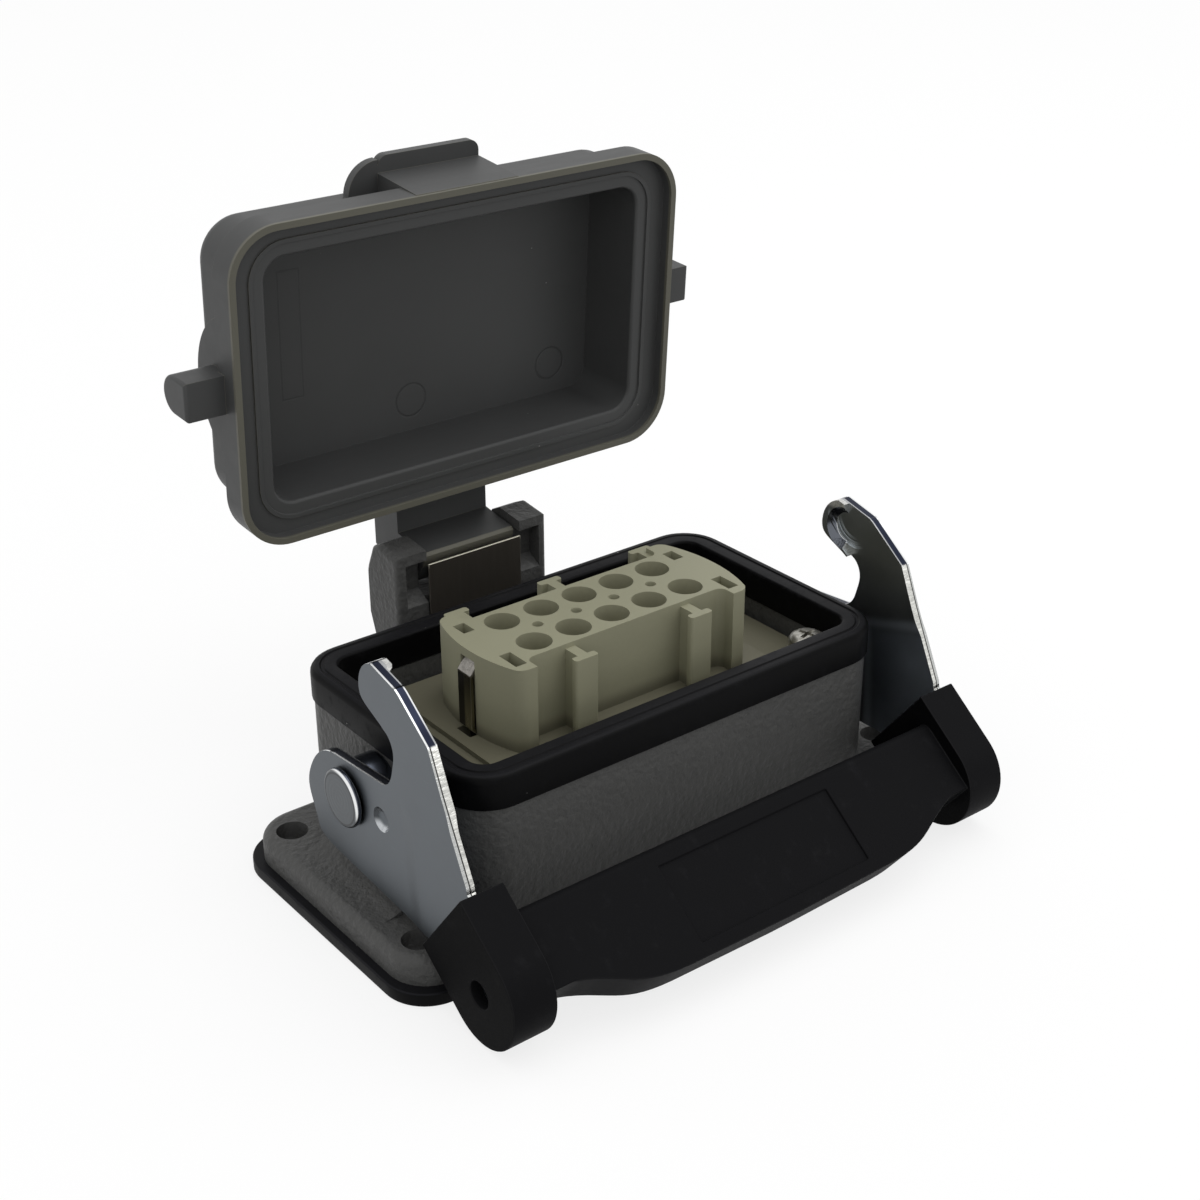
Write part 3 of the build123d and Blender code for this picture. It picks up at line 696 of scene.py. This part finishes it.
def ring_piece(name, slot, half_x, half_y, corner, section):
    """A section carried round a rounded rectangle."""
    recipe = Recipe(name, slot, half_length=half_x * MM, half_width=half_y * MM,
                    corner=corner * MM, corner_steps=10, section=section)
    own = recipe.inputs
    sides = {"Width": own["half_length"] * 2, "Height": own["half_width"] * 2}
    square = recipe.node("GeometryNodeCurvePrimitiveQuadrilateral", None, sides)
    turn = {"Curve": square, "Count": own["corner_steps"], "Radius": own["corner"]}
    path = recipe.node("GeometryNodeFilletCurve", {"mode": "POLY"}, turn)
    return recipe.make(recipe.swept(path), section)


def rows_of(name, slot, piece, columns, rows, pitch, row_distance, height=0.0,
            spin_axis=(0, 0, 1), spin=0.0, half_turn=0.0):
    """Copies of a piece on a grid. Each is spun by chance, and the near row may be turned."""
    recipe = Recipe(name, slot, columns=columns, rows=rows, pitch=pitch * MM,
                    row_distance=row_distance * MM, place=Vector((0, 0, height * MM)),
                    spin_axis=Vector(spin_axis), spin=spin, half_turn=half_turn, seed=SEED,
                    piece=piece)
    own = recipe.inputs
    sheet = {"Size X": (own["columns"] - 1) * own["pitch"],
             "Size Y": (own["rows"] - 1) * own["row_distance"],
             "Vertices X": own["columns"], "Vertices Y": own["rows"]}
    grid = recipe.node("GeometryNodeMeshGrid", None, sheet)
    raised = recipe.node("GeometryNodeTransform", None,
                         {"Geometry": grid, "Translation": own["place"]})
    chance = recipe.node("FunctionNodeRandomValue", {"data_type": "FLOAT"},
                         {3: own["spin"], 8: own["seed"]}, out=1)
    spun = recipe.vector("MULTIPLY", own["spin_axis"], chance)
    near = recipe.axis(recipe.node("GeometryNodeInputPosition"), "Y").below(0)
    facing = recipe.node("ShaderNodeCombineXYZ", None, {"Z": near * own["half_turn"]})
    turn = recipe.node("FunctionNodeEulerToRotation", None, (recipe.vector("ADD", spun, facing),))
    copied = recipe.node("GeometryNodeObjectInfo", None, {"Object": own["piece"]}, out="Geometry")
    copies = recipe.node("GeometryNodeInstanceOnPoints", None,
                         {"Points": raised, "Instance": copied, "Rotation": turn})
    return recipe.make(copies, piece)


# Mesh building

def outward(piece):
    """Closes poles and seams, turns all faces outwards and keeps sharp edges sharp."""
    mesh = bmesh.new()
    mesh.from_mesh(piece.data)
    bmesh.ops.remove_doubles(mesh, verts=mesh.verts, dist=WELD)
    bmesh.ops.recalc_face_normals(mesh, faces=mesh.faces)
    for face in mesh.faces:
        face.smooth = True
    mesh.to_mesh(piece.data)
    mesh.free()
    piece.data.set_sharp_from_angle(angle=SHARP_ANGLE)
    return piece


def slot_cut(piece, length, width, top, depth, turn=0.0, taper=1.0):
    """Cuts a slot into the top of a piece. A taper under 1 narrows it towards its floor."""
    above = 0.2
    mesh = bmesh.new()
    bmesh.ops.create_cube(mesh, size=1.0)
    for point in mesh.verts:
        share = 1.0 if point.co.z > 0 else taper
        height = top + above if point.co.z > 0 else top - depth
        point.co = Vector((point.co.x * length * share, point.co.y * width * share, height)) * MM
    bmesh.ops.rotate(mesh, verts=mesh.verts, matrix=Matrix.Rotation(turn, 3, "Z"))
    cutter = object_from("cutter", mesh)
    cut = piece.modifiers.new("Slot", "BOOLEAN")
    cut.object = cutter
    cut.operation = "DIFFERENCE"
    cut.solver = "EXACT"
    settle(piece)
    bpy.data.objects.remove(cutter)
    return outward(piece)


def plate_creases():
    """The two creases round the front panel, each a point and the way into the panel."""
    corner = Vector((0, *CREASE_CORNER))
    creases = []
    for end, side in ((CREASE_FRONT, 1), (CREASE_FOOT, -1)):
        run = (Vector((0, *end)) - corner).normalized()
        creases.append((corner, Vector((0, -run.z, run.y)) * side))
    return creases


def press_panel(piece, side):
    """Presses the front panel of a lever plate outwards along its two soft creases."""
    middle = (abs(piece.bound_box[0][0]) + abs(piece.bound_box[6][0])) / 2
    mesh = bmesh.new()
    mesh.from_mesh(piece.data)
    cuts = 6
    for start, inward in plate_creases():
        for step in range(cuts + 1):
            shift = (2 * step / cuts - 1) * CREASE_HALF
            everything = mesh.verts[:] + mesh.edges[:] + mesh.faces[:]
            bmesh.ops.bisect_plane(mesh, geom=everything, dist=0.001 * MM,
                                   plane_co=(start + inward * shift) * MM, plane_no=inward)
    for point in mesh.verts:
        depth = min((point.co / MM - start).dot(inward) for start, inward in plate_creases())
        share = min(max((depth / CREASE_HALF + 1) / 2, 0.0), 1.0)
        step = PANEL_STEP if abs(point.co.x) < middle else PANEL_STEP * OUTER_SHARE
        point.co.x += side * step * MM * share * share * (3 - 2 * share)
    mesh.to_mesh(piece.data)
    mesh.free()
    return even_normals(piece)


def new_object(name, data):
    made = bpy.data.objects.new(name, data)
    bpy.context.scene.collection.objects.link(made)
    return made


def object_from(name, mesh):
    """An object with the finished mesh, which is freed."""
    plain = bpy.data.meshes.new(name)
    mesh.to_mesh(plain)
    mesh.free()
    return new_object(name, plain)


def settle(piece):
    """Applies the piece's modifiers and returns it with a plain mesh."""
    bpy.context.view_layer.update()
    graph = bpy.context.evaluated_depsgraph_get()
    plain = bpy.data.meshes.new_from_object(piece.evaluated_get(graph))
    piece.modifiers.clear()
    piece.data = plain
    return piece


def even_normals(piece):
    weigh = piece.modifiers.new("Even normals", "WEIGHTED_NORMAL")
    weigh.weight = 100
    return settle(piece)


def mark_wear(mesh, rounded):
    """Writes 1 on the points in the middle of a rounded outer edge, 0 elsewhere."""
    layer = mesh.verts.layers.float.new(WEAR)
    for point in mesh.verts:
        if not point.link_faces or any(face not in rounded for face in point.link_faces):
            continue
        middle = sum((edge.other_vert(point).co for edge in point.link_edges), Vector())
        middle /= len(point.link_edges)
        if (middle - point.co).dot(point.normal) < 0:
            point[layer] = 1.0


def softened(name, node, width):
    """A copy of a solid whose sharp edges are rounded by a width in millimetres."""
    mesh = bmesh.new()
    mesh.from_mesh(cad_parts[node].data)
    for layer in list(mesh.loops.layers.float_vector):
        mesh.loops.layers.float_vector.remove(layer)
    bmesh.ops.remove_doubles(mesh, verts=mesh.verts, dist=WELD)
    bmesh.ops.dissolve_limit(mesh, angle_limit=FLAT_ANGLE, verts=mesh.verts,
                             edges=mesh.edges)
    bmesh.ops.recalc_face_normals(mesh, faces=mesh.faces)
    sharp = [edge for edge in mesh.edges
             if len(edge.link_faces) == 2 and edge.calc_face_angle() > SHARP_ANGLE]
    rounding = bmesh.ops.bevel(mesh, geom=sharp, offset=width * MM, offset_type="OFFSET",
                               segments=2, profile=0.5, affect="EDGES",
                               clamp_overlap=True, loop_slide=True)
    mesh.normal_update()
    mark_wear(mesh, set(rounding["faces"]))
    for face in mesh.faces:
        face.smooth = True
    return even_normals(object_from(name, mesh))


def dress(piece, finish):
    piece.data.materials.clear()
    piece.data.materials.append(paint_for(finish))


def install(piece, body, slot, *nodes, finish=None):
    """Gives the piece its finish and its body, and hides the solids that it stands for."""
    dress(piece, finish or slot)
    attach(piece, body)
    if nodes:
        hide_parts(*nodes)


def soften_node(node, body, slot, width, finish=None):
    install(softened(node + "_finished", node, width), body, slot, node, finish=finish)


def node_box(node):
    """Lowest and highest corner of a solid, in millimetres."""
    low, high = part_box(node)
    return Vector(low) / MM, Vector(high) / MM


# Settings

def size(name, description, default):
    return FloatProperty(name=name, description=description + " in mm", default=default, min=0.0)


def tint(name, description, default):
    return FloatVectorProperty(name=name, description=description, default=default,
                               subtype="COLOR", size=3, min=0.0, max=1.0)


class CastingSettings(bpy.types.PropertyGroup):
    colour: tint("Colour", "Colour of the coat on the casting", (0.07, 0.07, 0.068))
    rounding: size("Edge rounding", "Rounding of the casting's edges", 0.45)


class SealSettings(bpy.types.PropertyGroup):
    colour: tint("Colour", "Colour of the rubber", (0.006, 0.006, 0.0068))
    rounding: size("Edge rounding", "Rounding of the gasket's edges", 0.3)
    wall: size("Rim width", "Width of the rim seal", 3.95)
    corner: size("Rim corner", "Outer corner radius of the rim seal", 6.5)
    top_round: size("Top rounding", "Rounding of the rim seal's outer top edge", 0.9)
    groove_top: size("Groove top", "Height of the groove's end", 27.2)
    groove_out: size("Groove outwards", "Reach of the groove outwards", 0.725)
    groove_in: size("Groove inwards", "Reach of the groove inwards", 0.875)


class CoverSettings(bpy.types.PropertyGroup):
    colour: tint("Colour", "Colour of the moulding", (0.056, 0.057, 0.057))
    # The cover's worn edge colour is partly a painted highlight.
    edge_colour: tint("Edge colour", "Colour of its worn edges", (0.135, 0.13, 0.1))
    rounding: size("Edge rounding", "Rounding of the moulding's edges", 0.35)


class InsertSettings(bpy.types.PropertyGroup):
    colour: tint("Colour", "Colour of the moulding", (0.27, 0.265, 0.182))
    # The insert's pale edge colour is partly a painted highlight.
    edge_colour: tint("Edge colour", "Colour of its pale edges", (0.37, 0.345, 0.19))
    # The top colour is painted light on the insert's upper faces.
    lit_top_colour: tint("Top colour", "Colour of its upper faces", (0.28, 0.275, 0.19))
    rounding: size("Edge rounding", "Rounding of the moulding's edges", 0.28)


class ContactSettings(bpy.types.PropertyGroup):
    tube: size("Tube", "Diameter of the tube", 4.2)
    bore: size("Bore", "Diameter of the mating bore", 2.6)
    deep: size("Bore depth", "Depth of the mating bore", 11.0)
    collar_low: size("Collar start", "Height of the collar's underside", 16.5)
    collar_top: size("Collar end", "Height of the collar's top", 20.0)


class ScrewSettings(bpy.types.PropertyGroup):
    slot: size("Slot", "Width of the screwdriver slots", 0.7)
    cross: size("Cross", "Span of the cross recess", 3.4)
    insert_head: size("Insert screw head", "Diameter of the head", 5.6)
    insert_high: size("Insert screw head height", "Height of the head", 2.4)
    loose: size("Loose screw", "How far the right front insert screw stands out", 2.5)
    insert_shank: size("Insert screw shank", "Diameter of the shank", 3.0)
    terminal_long: size("Terminal screw", "Length of a terminal screw", 5.2)
    earth_shank: size("Earth screw shank", "Diameter of the shank", 3.4)
    earth_high: size("Earth screw head height", "Height of the head", 2.2)


class LeverSettings(bpy.types.PropertyGroup):
    plate_colour: tint("Plate colour", "Colour of the zinc plated sheet", (0.128, 0.141, 0.154))
    handle_colour: tint("Handle colour", "Colour of the black handle", (0.0076, 0.0076, 0.0084))
    sheet_rounding: size("Sheet rounding", "Rounding of the sheet's edges", 0.24)
    handle_rounding: size("Handle rounding", "Rounding of the handle's edges", 0.5)


class StageSettings(bpy.types.PropertyGroup):
    room: FloatProperty(name="Room light", description="Strength of the light from all sides",
                        default=0.85, min=0.0)
    key: FloatProperty(name="Key light", description="Power of the soft lamp", default=2.5,
                       unit="POWER")
    lamp_size: FloatProperty(name="Lamp size", description="Width of the soft lamp",
                             default=0.9, unit="LENGTH")
    lamp_distance: FloatProperty(name="Lamp distance", description="From the part to the lamp",
                                 default=0.9, unit="LENGTH")
    floor: tint("Floor", "Colour of the floor in the picture", (0.95, 0.95, 0.95))
    floor_bounce: tint("Floor bounce", "Colour of the light that the floor throws back",
                       (0.38, 0.38, 0.38))
    glow: FloatProperty(name="Floor glow", description="Share of plain white in the floor",
                        default=0.8, min=0.0, max=1.0)


class ConnectorSettings(bpy.types.PropertyGroup):
    casting: PointerProperty(type=CastingSettings)
    seals: PointerProperty(type=SealSettings)
    cover: PointerProperty(type=CoverSettings)
    insert: PointerProperty(type=InsertSettings)
    contact: PointerProperty(type=ContactSettings)
    screws: PointerProperty(type=ScrewSettings)
    lever: PointerProperty(type=LeverSettings)
    stage: PointerProperty(type=StageSettings)


# Operators, one for each piece or group of like pieces

class CONNECTOR_OT_housing(bpy.types.Operator):
    """The die cast housing with its flange and hinge ears"""
    bl_idname = "connector.housing"
    bl_label = "Housing"

    def execute(self, context):
        soften_node("housing", "housing", "housing_paint", settings().casting.rounding)
        return {"FINISHED"}


class CONNECTOR_OT_seals(bpy.types.Operator):
    """The rim seal and the flange gasket"""
    bl_idname = "connector.seals"
    bl_label = "Seals"

    def execute(self, context):
        seals = settings().seals
        low, high = node_box("rim_seal")
        half = seals.wall / 2
        top = high.z - SEAL_CLEARANCE
        line = half - 1.5
        line_floor = top - 0.15
        section = section_curve([
            (-half, low.z, 0.2), (-half, top, 0.45),
            (line - 0.5, top, 0), (line - 0.3, line_floor, 0),
            (line, line_floor, 0), (line + 0.2, top, 0),
            (half, top, seals.top_round), (half, low.z, 0.25),
            (seals.groove_out, low.z, 0), (seals.groove_out, seals.groove_top, 0),
            (-seals.groove_in, seals.groove_top, 0), (-seals.groove_in, low.z, 0),
        ], True)
        ring = ring_piece("rim_seal_ring", "black_rubber", high.x - half, high.y - half,
                          seals.corner - half, section)
        install(ring, "housing", "black_rubber", "rim_seal")
        soften_node("flange_gasket", "housing", "black_rubber", seals.rounding)
        return {"FINISHED"}


class CONNECTOR_OT_pins(bpy.types.Operator):
    """The pins that carry the lever, and the leaf spring behind the wall"""
    bl_idname = "connector.pins"
    bl_label = "Pins and leaf spring"

    def execute(self, context):
        for side in ("right", "left"):
            soften_node("pivot_pin_" + side, "housing", "zinc_steel", PIN_ROUNDING,
                        finish="turned_steel")
        soften_node("hinge_spring", "housing", "spring_steel", SPRING_ROUNDING)
        return {"FINISHED"}


class CONNECTOR_OT_insert(bpy.types.Operator):
    """The beige contact block with its fixing plate and terminal side"""
    bl_idname = "connector.insert"
    bl_label = "Insert"

    def execute(self, context):
        soften_node("insert_body", "housing", "insert_plastic", settings().insert.rounding)
        dress(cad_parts["insert_base"], "insert_plastic")
        for side in ("right", "left"):
            dress(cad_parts["earth_terminal_" + side], "zinc_steel")
            soften_node("earth_spring_" + side, "housing", "spring_steel", BLADE_ROUNDING,
                        finish="blade_steel")
        return {"FINISHED"}


class CONNECTOR_OT_contacts(bpy.types.Operator):
    """The ten turned socket contacts in their two rows"""
    bl_idname = "connector.contacts"
    bl_label = "Contacts"

    def execute(self, context):
        contact = settings().contact
        low, high = node_box("socket_contact_01")
        tube = contact.tube / 2
        bore = contact.bore / 2
        collar = (high.x - low.x) / 2
        mouth = 0.25
        wire_end = 13.0
        floor = high.z - contact.deep
        points = [
            (0, wire_end, 0), (bore, wire_end, 0), (bore, low.z, 0), (tube, low.z, 0.2),
            (tube, contact.collar_low, 0), (collar, contact.collar_low, 0.3),
            (collar, contact.collar_top, 0.3), (tube, contact.collar_top, 0),
            (tube, high.z, 0.3), (bore + mouth, high.z, 0), (bore, high.z - mouth, 0),
            (bore, floor, 0), (0, floor - bore / 2, 0),
        ]
        nodes = sorted(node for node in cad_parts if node.startswith("socket_contact"))
        pitch = node_box(nodes[1])[0].x - low.x
        row_distance = low.y - node_box(nodes[5])[0].y
        single = turned("contact", "contact_metal", points, around=32)
        piece = rows_of("socket_contacts", "contact_metal", single, columns=5, rows=2,
                        pitch=pitch, row_distance=row_distance)
        install(piece, "housing", "contact_metal", *nodes)
        return {"FINISHED"}


class CONNECTOR_OT_screws(bpy.types.Operator):
    """The insert screws, the terminal screws and the earth screws"""
    bl_idname = "connector.screws"
    bl_label = "Screws"

    def execute(self, context):
        self.insert_screws()
        self.terminal_screws()
        self.earth_screws()
        return {"FINISHED"}

    def insert_screws(self):
        screws = settings().screws
        low, high = node_box("insert_screws")
        head = screws.insert_head / 2
        shank = screws.insert_shank / 2
        seat = high.z - screws.insert_high
        dome = 0.2
        points = [(0, low.z, 0), (shank, low.z, 0.3), (shank, seat, 0), (head, seat, 0.2),
                  (head, high.z - dome, 1.1), (0, high.z, 0)]
        single = turned("insert_screw", "screw_steel", points)
        for turn in (0.0, math.pi / 2):
            slot_cut(single, screws.cross, screws.slot, high.z, depth=1.3, turn=turn, taper=0.45)
        piece = rows_of("cross_screws", "screw_steel", single, columns=2, rows=2,
                        pitch=high.x - low.x - 2 * head,
                        row_distance=high.y - low.y - 2 * head, spin=math.pi)
        for point in piece.data.vertices:
            if point.co.x > 0 and point.co.y < 0:
                point.co.z += screws.loose * MM
        install(piece, "housing", "screw_steel", "insert_screws")

    def terminal_screws(self):
        screws = settings().screws
        low, high = node_box("terminal_screws")
        radius = (high.z - low.z) / 2
        long = screws.terminal_long
        chamfer = 0.4
        points = [(0, 0, 0), (radius - chamfer, 0, 0), (radius, chamfer, 0),
                  (radius, long, 0.25), (0, long, 0)]
        single = turned("terminal_screw", "screw_steel", points, around=24)
        slot_cut(single, 2 * radius + SLOT_PAST, screws.slot, long, depth=0.8)
        single.data.transform(Matrix.Translation((0, (high.y - long) * MM, 0))
                              @ Matrix.Rotation(-math.pi / 2, 4, "X"))
        touching = 0.001
        piece = rows_of("clamping_screws", "screw_steel", single, columns=5, rows=2,
                        pitch=(high.x - low.x - 2 * radius) / 4, row_distance=touching,
                        height=(low.z + high.z) / 2, spin_axis=(0, 1, 0), spin=0.5,
                        half_turn=math.pi)
        install(piece, "housing", "screw_steel", "terminal_screws")

    def earth_screws(self):
        screws = settings().screws
        low, high = node_box("earth_screws")
        head = (high.y - low.y) / 2
        shank = screws.earth_shank / 2
        top = -low.z
        seat = top - screws.earth_high
        points = [(0, -high.z, 0), (shank, -high.z, 0.3), (shank, seat, 0), (head, seat, 0.2),
                  (head, top, 0.6), (0, top, 0)]
        single = turned("earth_screw", "screw_steel", points)
        slot_cut(single, 2 * head + SLOT_PAST, screws.slot, top, depth=1.0)
        single.data.transform(Matrix.Rotation(math.pi, 4, "X"))
        piece = rows_of("earthing_screws", "screw_steel", single, columns=2, rows=1,
                        pitch=high.x - low.x - 2 * head, row_distance=0.0, spin=math.pi)
        install(piece, "housing", "screw_steel", "earth_screws")


class CONNECTOR_OT_lever(bpy.types.Operator):
    """The two lever plates and the black handle between them"""
    bl_idname = "connector.lever"
    bl_label = "Lever"

    def execute(self, context):
        lever = settings().lever
        for side in ("right", "left"):
            node = "lever_plate_" + side
            plate = softened(node + "_finished", node, lever.sheet_rounding)
            press_panel(plate, 1 if side == "right" else -1)
            install(plate, "lever", "zinc_steel", node)
        soften_node("lever_handle", "lever", "handle_plastic", lever.handle_rounding)
        return {"FINISHED"}


class CONNECTOR_OT_cover(bpy.types.Operator):
    """The moulded cover with its pegs, tab and hinge arm"""
    bl_idname = "connector.cover"
    bl_label = "Cover"

    def execute(self, context):
        soften_node("cover", "cover", "cover_plastic", settings().cover.rounding)
        return {"FINISHED"}


class CONNECTOR_OT_stage(bpy.types.Operator):
    """Floor, lights and the photograph's camera"""
    bl_idname = "connector.stage"
    bl_label = "Stage"

    def execute(self, context):
        make_floor()
        light_room()
        hang_lamp()
        place_camera()
        return {"FINISHED"}


def view_axes():
    """Right, up and back of the photograph's view."""
    azimuth = math.radians(VIEW_AZIMUTH)
    elevation = math.radians(VIEW_ELEVATION)
    back = Vector((math.sin(azimuth) * math.cos(elevation),
                   -math.cos(azimuth) * math.cos(elevation), math.sin(elevation)))
    right = (-back).cross(Vector((0, 0, 1))).normalized()
    up = right.cross(-back)
    roll = math.radians(VIEW_ROLL)
    turned = right * math.cos(roll) + up * math.sin(roll)
    return turned, up * math.cos(roll) - right * math.sin(roll), back


def place_camera():
    right, up, back = view_axes()
    data = bpy.data.cameras.new("Camera")
    data.sensor_width = SENSOR
    data.lens = SENSOR * VIEW_FOCAL_SHARE
    data.clip_start = 10 * MM
    camera = new_object("Camera", data)
    across, above = VIEW_AIM
    place = (back * VIEW_DISTANCE + right * across + up * above) * MM
    turn = Matrix((right, up, back)).transposed().to_4x4()
    camera.matrix_world = Matrix.Translation(place) @ turn
    bpy.context.scene.camera = camera


def seen_ray(paint):
    """1 for rays that show the background itself, 0 for rays that only light."""
    kinds = ("Is Camera Ray", "Is Glossy Ray", "Is Transmission Ray")
    camera, glossy, through = [paint.node("ShaderNodeLightPath", out=kind) for kind in kinds]
    return camera.most(glossy).most(through)


def make_floor():
    half = FLOOR_HALF
    low = -FLOOR_DROP * MM
    corners = [(-half, -half, low), (half, -half, low), (half, half, low), (-half, half, low)]
    mesh = bpy.data.meshes.new("Floor")
    mesh.from_pydata(corners, [], [(0, 1, 2, 3)])
    floor = new_object("Floor", mesh)
    paint = Paint("floor")
    stage = settings().stage
    seen = seen_ray(paint)
    tone = paint.mix(seen, stage.floor_bounce, stage.floor)
    ground = paint.skin(tone, roughness=0.9, gloss=0.0)
    white = paint.node("ShaderNodeEmission", None, {"Color": (1, 1, 1, 1), "Strength": 1.0})
    glow = seen * stage.glow
    mesh.materials.append(paint.end(paint.node("ShaderNodeMixShader", None, (glow, ground, white))))


class Sky(Paint):
    """The world, with the same helpers as a material."""

    def __init__(self, world):
        world.use_nodes = True
        self.tree = world.node_tree
        self.tree.nodes.clear()


def light_room():
    world = bpy.data.worlds.new("Room")
    bpy.context.scene.world = world
    sky = Sky(world)
    strength = settings().stage.room
    seen = seen_ray(sky)
    glow = {"Color": (1, 1, 1, 1), "Strength": seen * (1 - strength) + strength}
    light = sky.node("ShaderNodeBackground", None, glow)
    sky.end_in("ShaderNodeOutputWorld", "Surface", light)


def hang_lamp():
    stage = settings().stage
    data = bpy.data.lights.new("Key", "AREA")
    data.shape = "DISK"
    data.size = stage.lamp_size
    data.energy = stage.key
    lamp = new_object("Key", data)
    toward = Vector(LAMP_WAY).normalized()
    lamp.location = toward * stage.lamp_distance
    lamp.rotation_euler = toward.to_track_quat("Z", "Y").to_euler()


class CONNECTOR_PT_panel(bpy.types.Panel):
    """Builds the connector piece by piece"""
    bl_label = "Connector"
    bl_idname = "CONNECTOR_PT_panel"
    bl_space_type = "VIEW_3D"
    bl_region_type = "UI"
    bl_category = "Connector"

    def draw(self, context):
        for group in ConnectorSettings.__annotations__:
            box = self.layout.box()
            values = getattr(context.scene.connector, group)
            for name in values.__annotations__:
                box.prop(values, name)
        for operator in OPERATORS:
            self.layout.operator(operator.bl_idname)


OPERATORS = (CONNECTOR_OT_housing, CONNECTOR_OT_seals, CONNECTOR_OT_pins, CONNECTOR_OT_insert,
             CONNECTOR_OT_contacts, CONNECTOR_OT_screws, CONNECTOR_OT_lever, CONNECTOR_OT_cover,
             CONNECTOR_OT_stage)
CLASSES = (CastingSettings, SealSettings, CoverSettings, InsertSettings, ContactSettings,
           ScrewSettings, LeverSettings, StageSettings, ConnectorSettings, *OPERATORS,
           CONNECTOR_PT_panel)


def register():
    for item in CLASSES:
        bpy.utils.register_class(item)
    bpy.types.Scene.connector = PointerProperty(type=ConnectorSettings)


def unregister():
    del bpy.types.Scene.connector
    for item in reversed(CLASSES):
        bpy.utils.unregister_class(item)


def main():
    register()
    bpy.context.scene.view_settings.view_transform = "Standard"
    bpy.ops.connector.housing()
    bpy.ops.connector.seals()
    bpy.ops.connector.pins()
    bpy.ops.connector.insert()
    bpy.ops.connector.contacts()
    bpy.ops.connector.screws()
    bpy.ops.connector.lever()
    bpy.ops.connector.cover()
    bpy.ops.connector.stage()


if __name__ == "__main__":
    main()
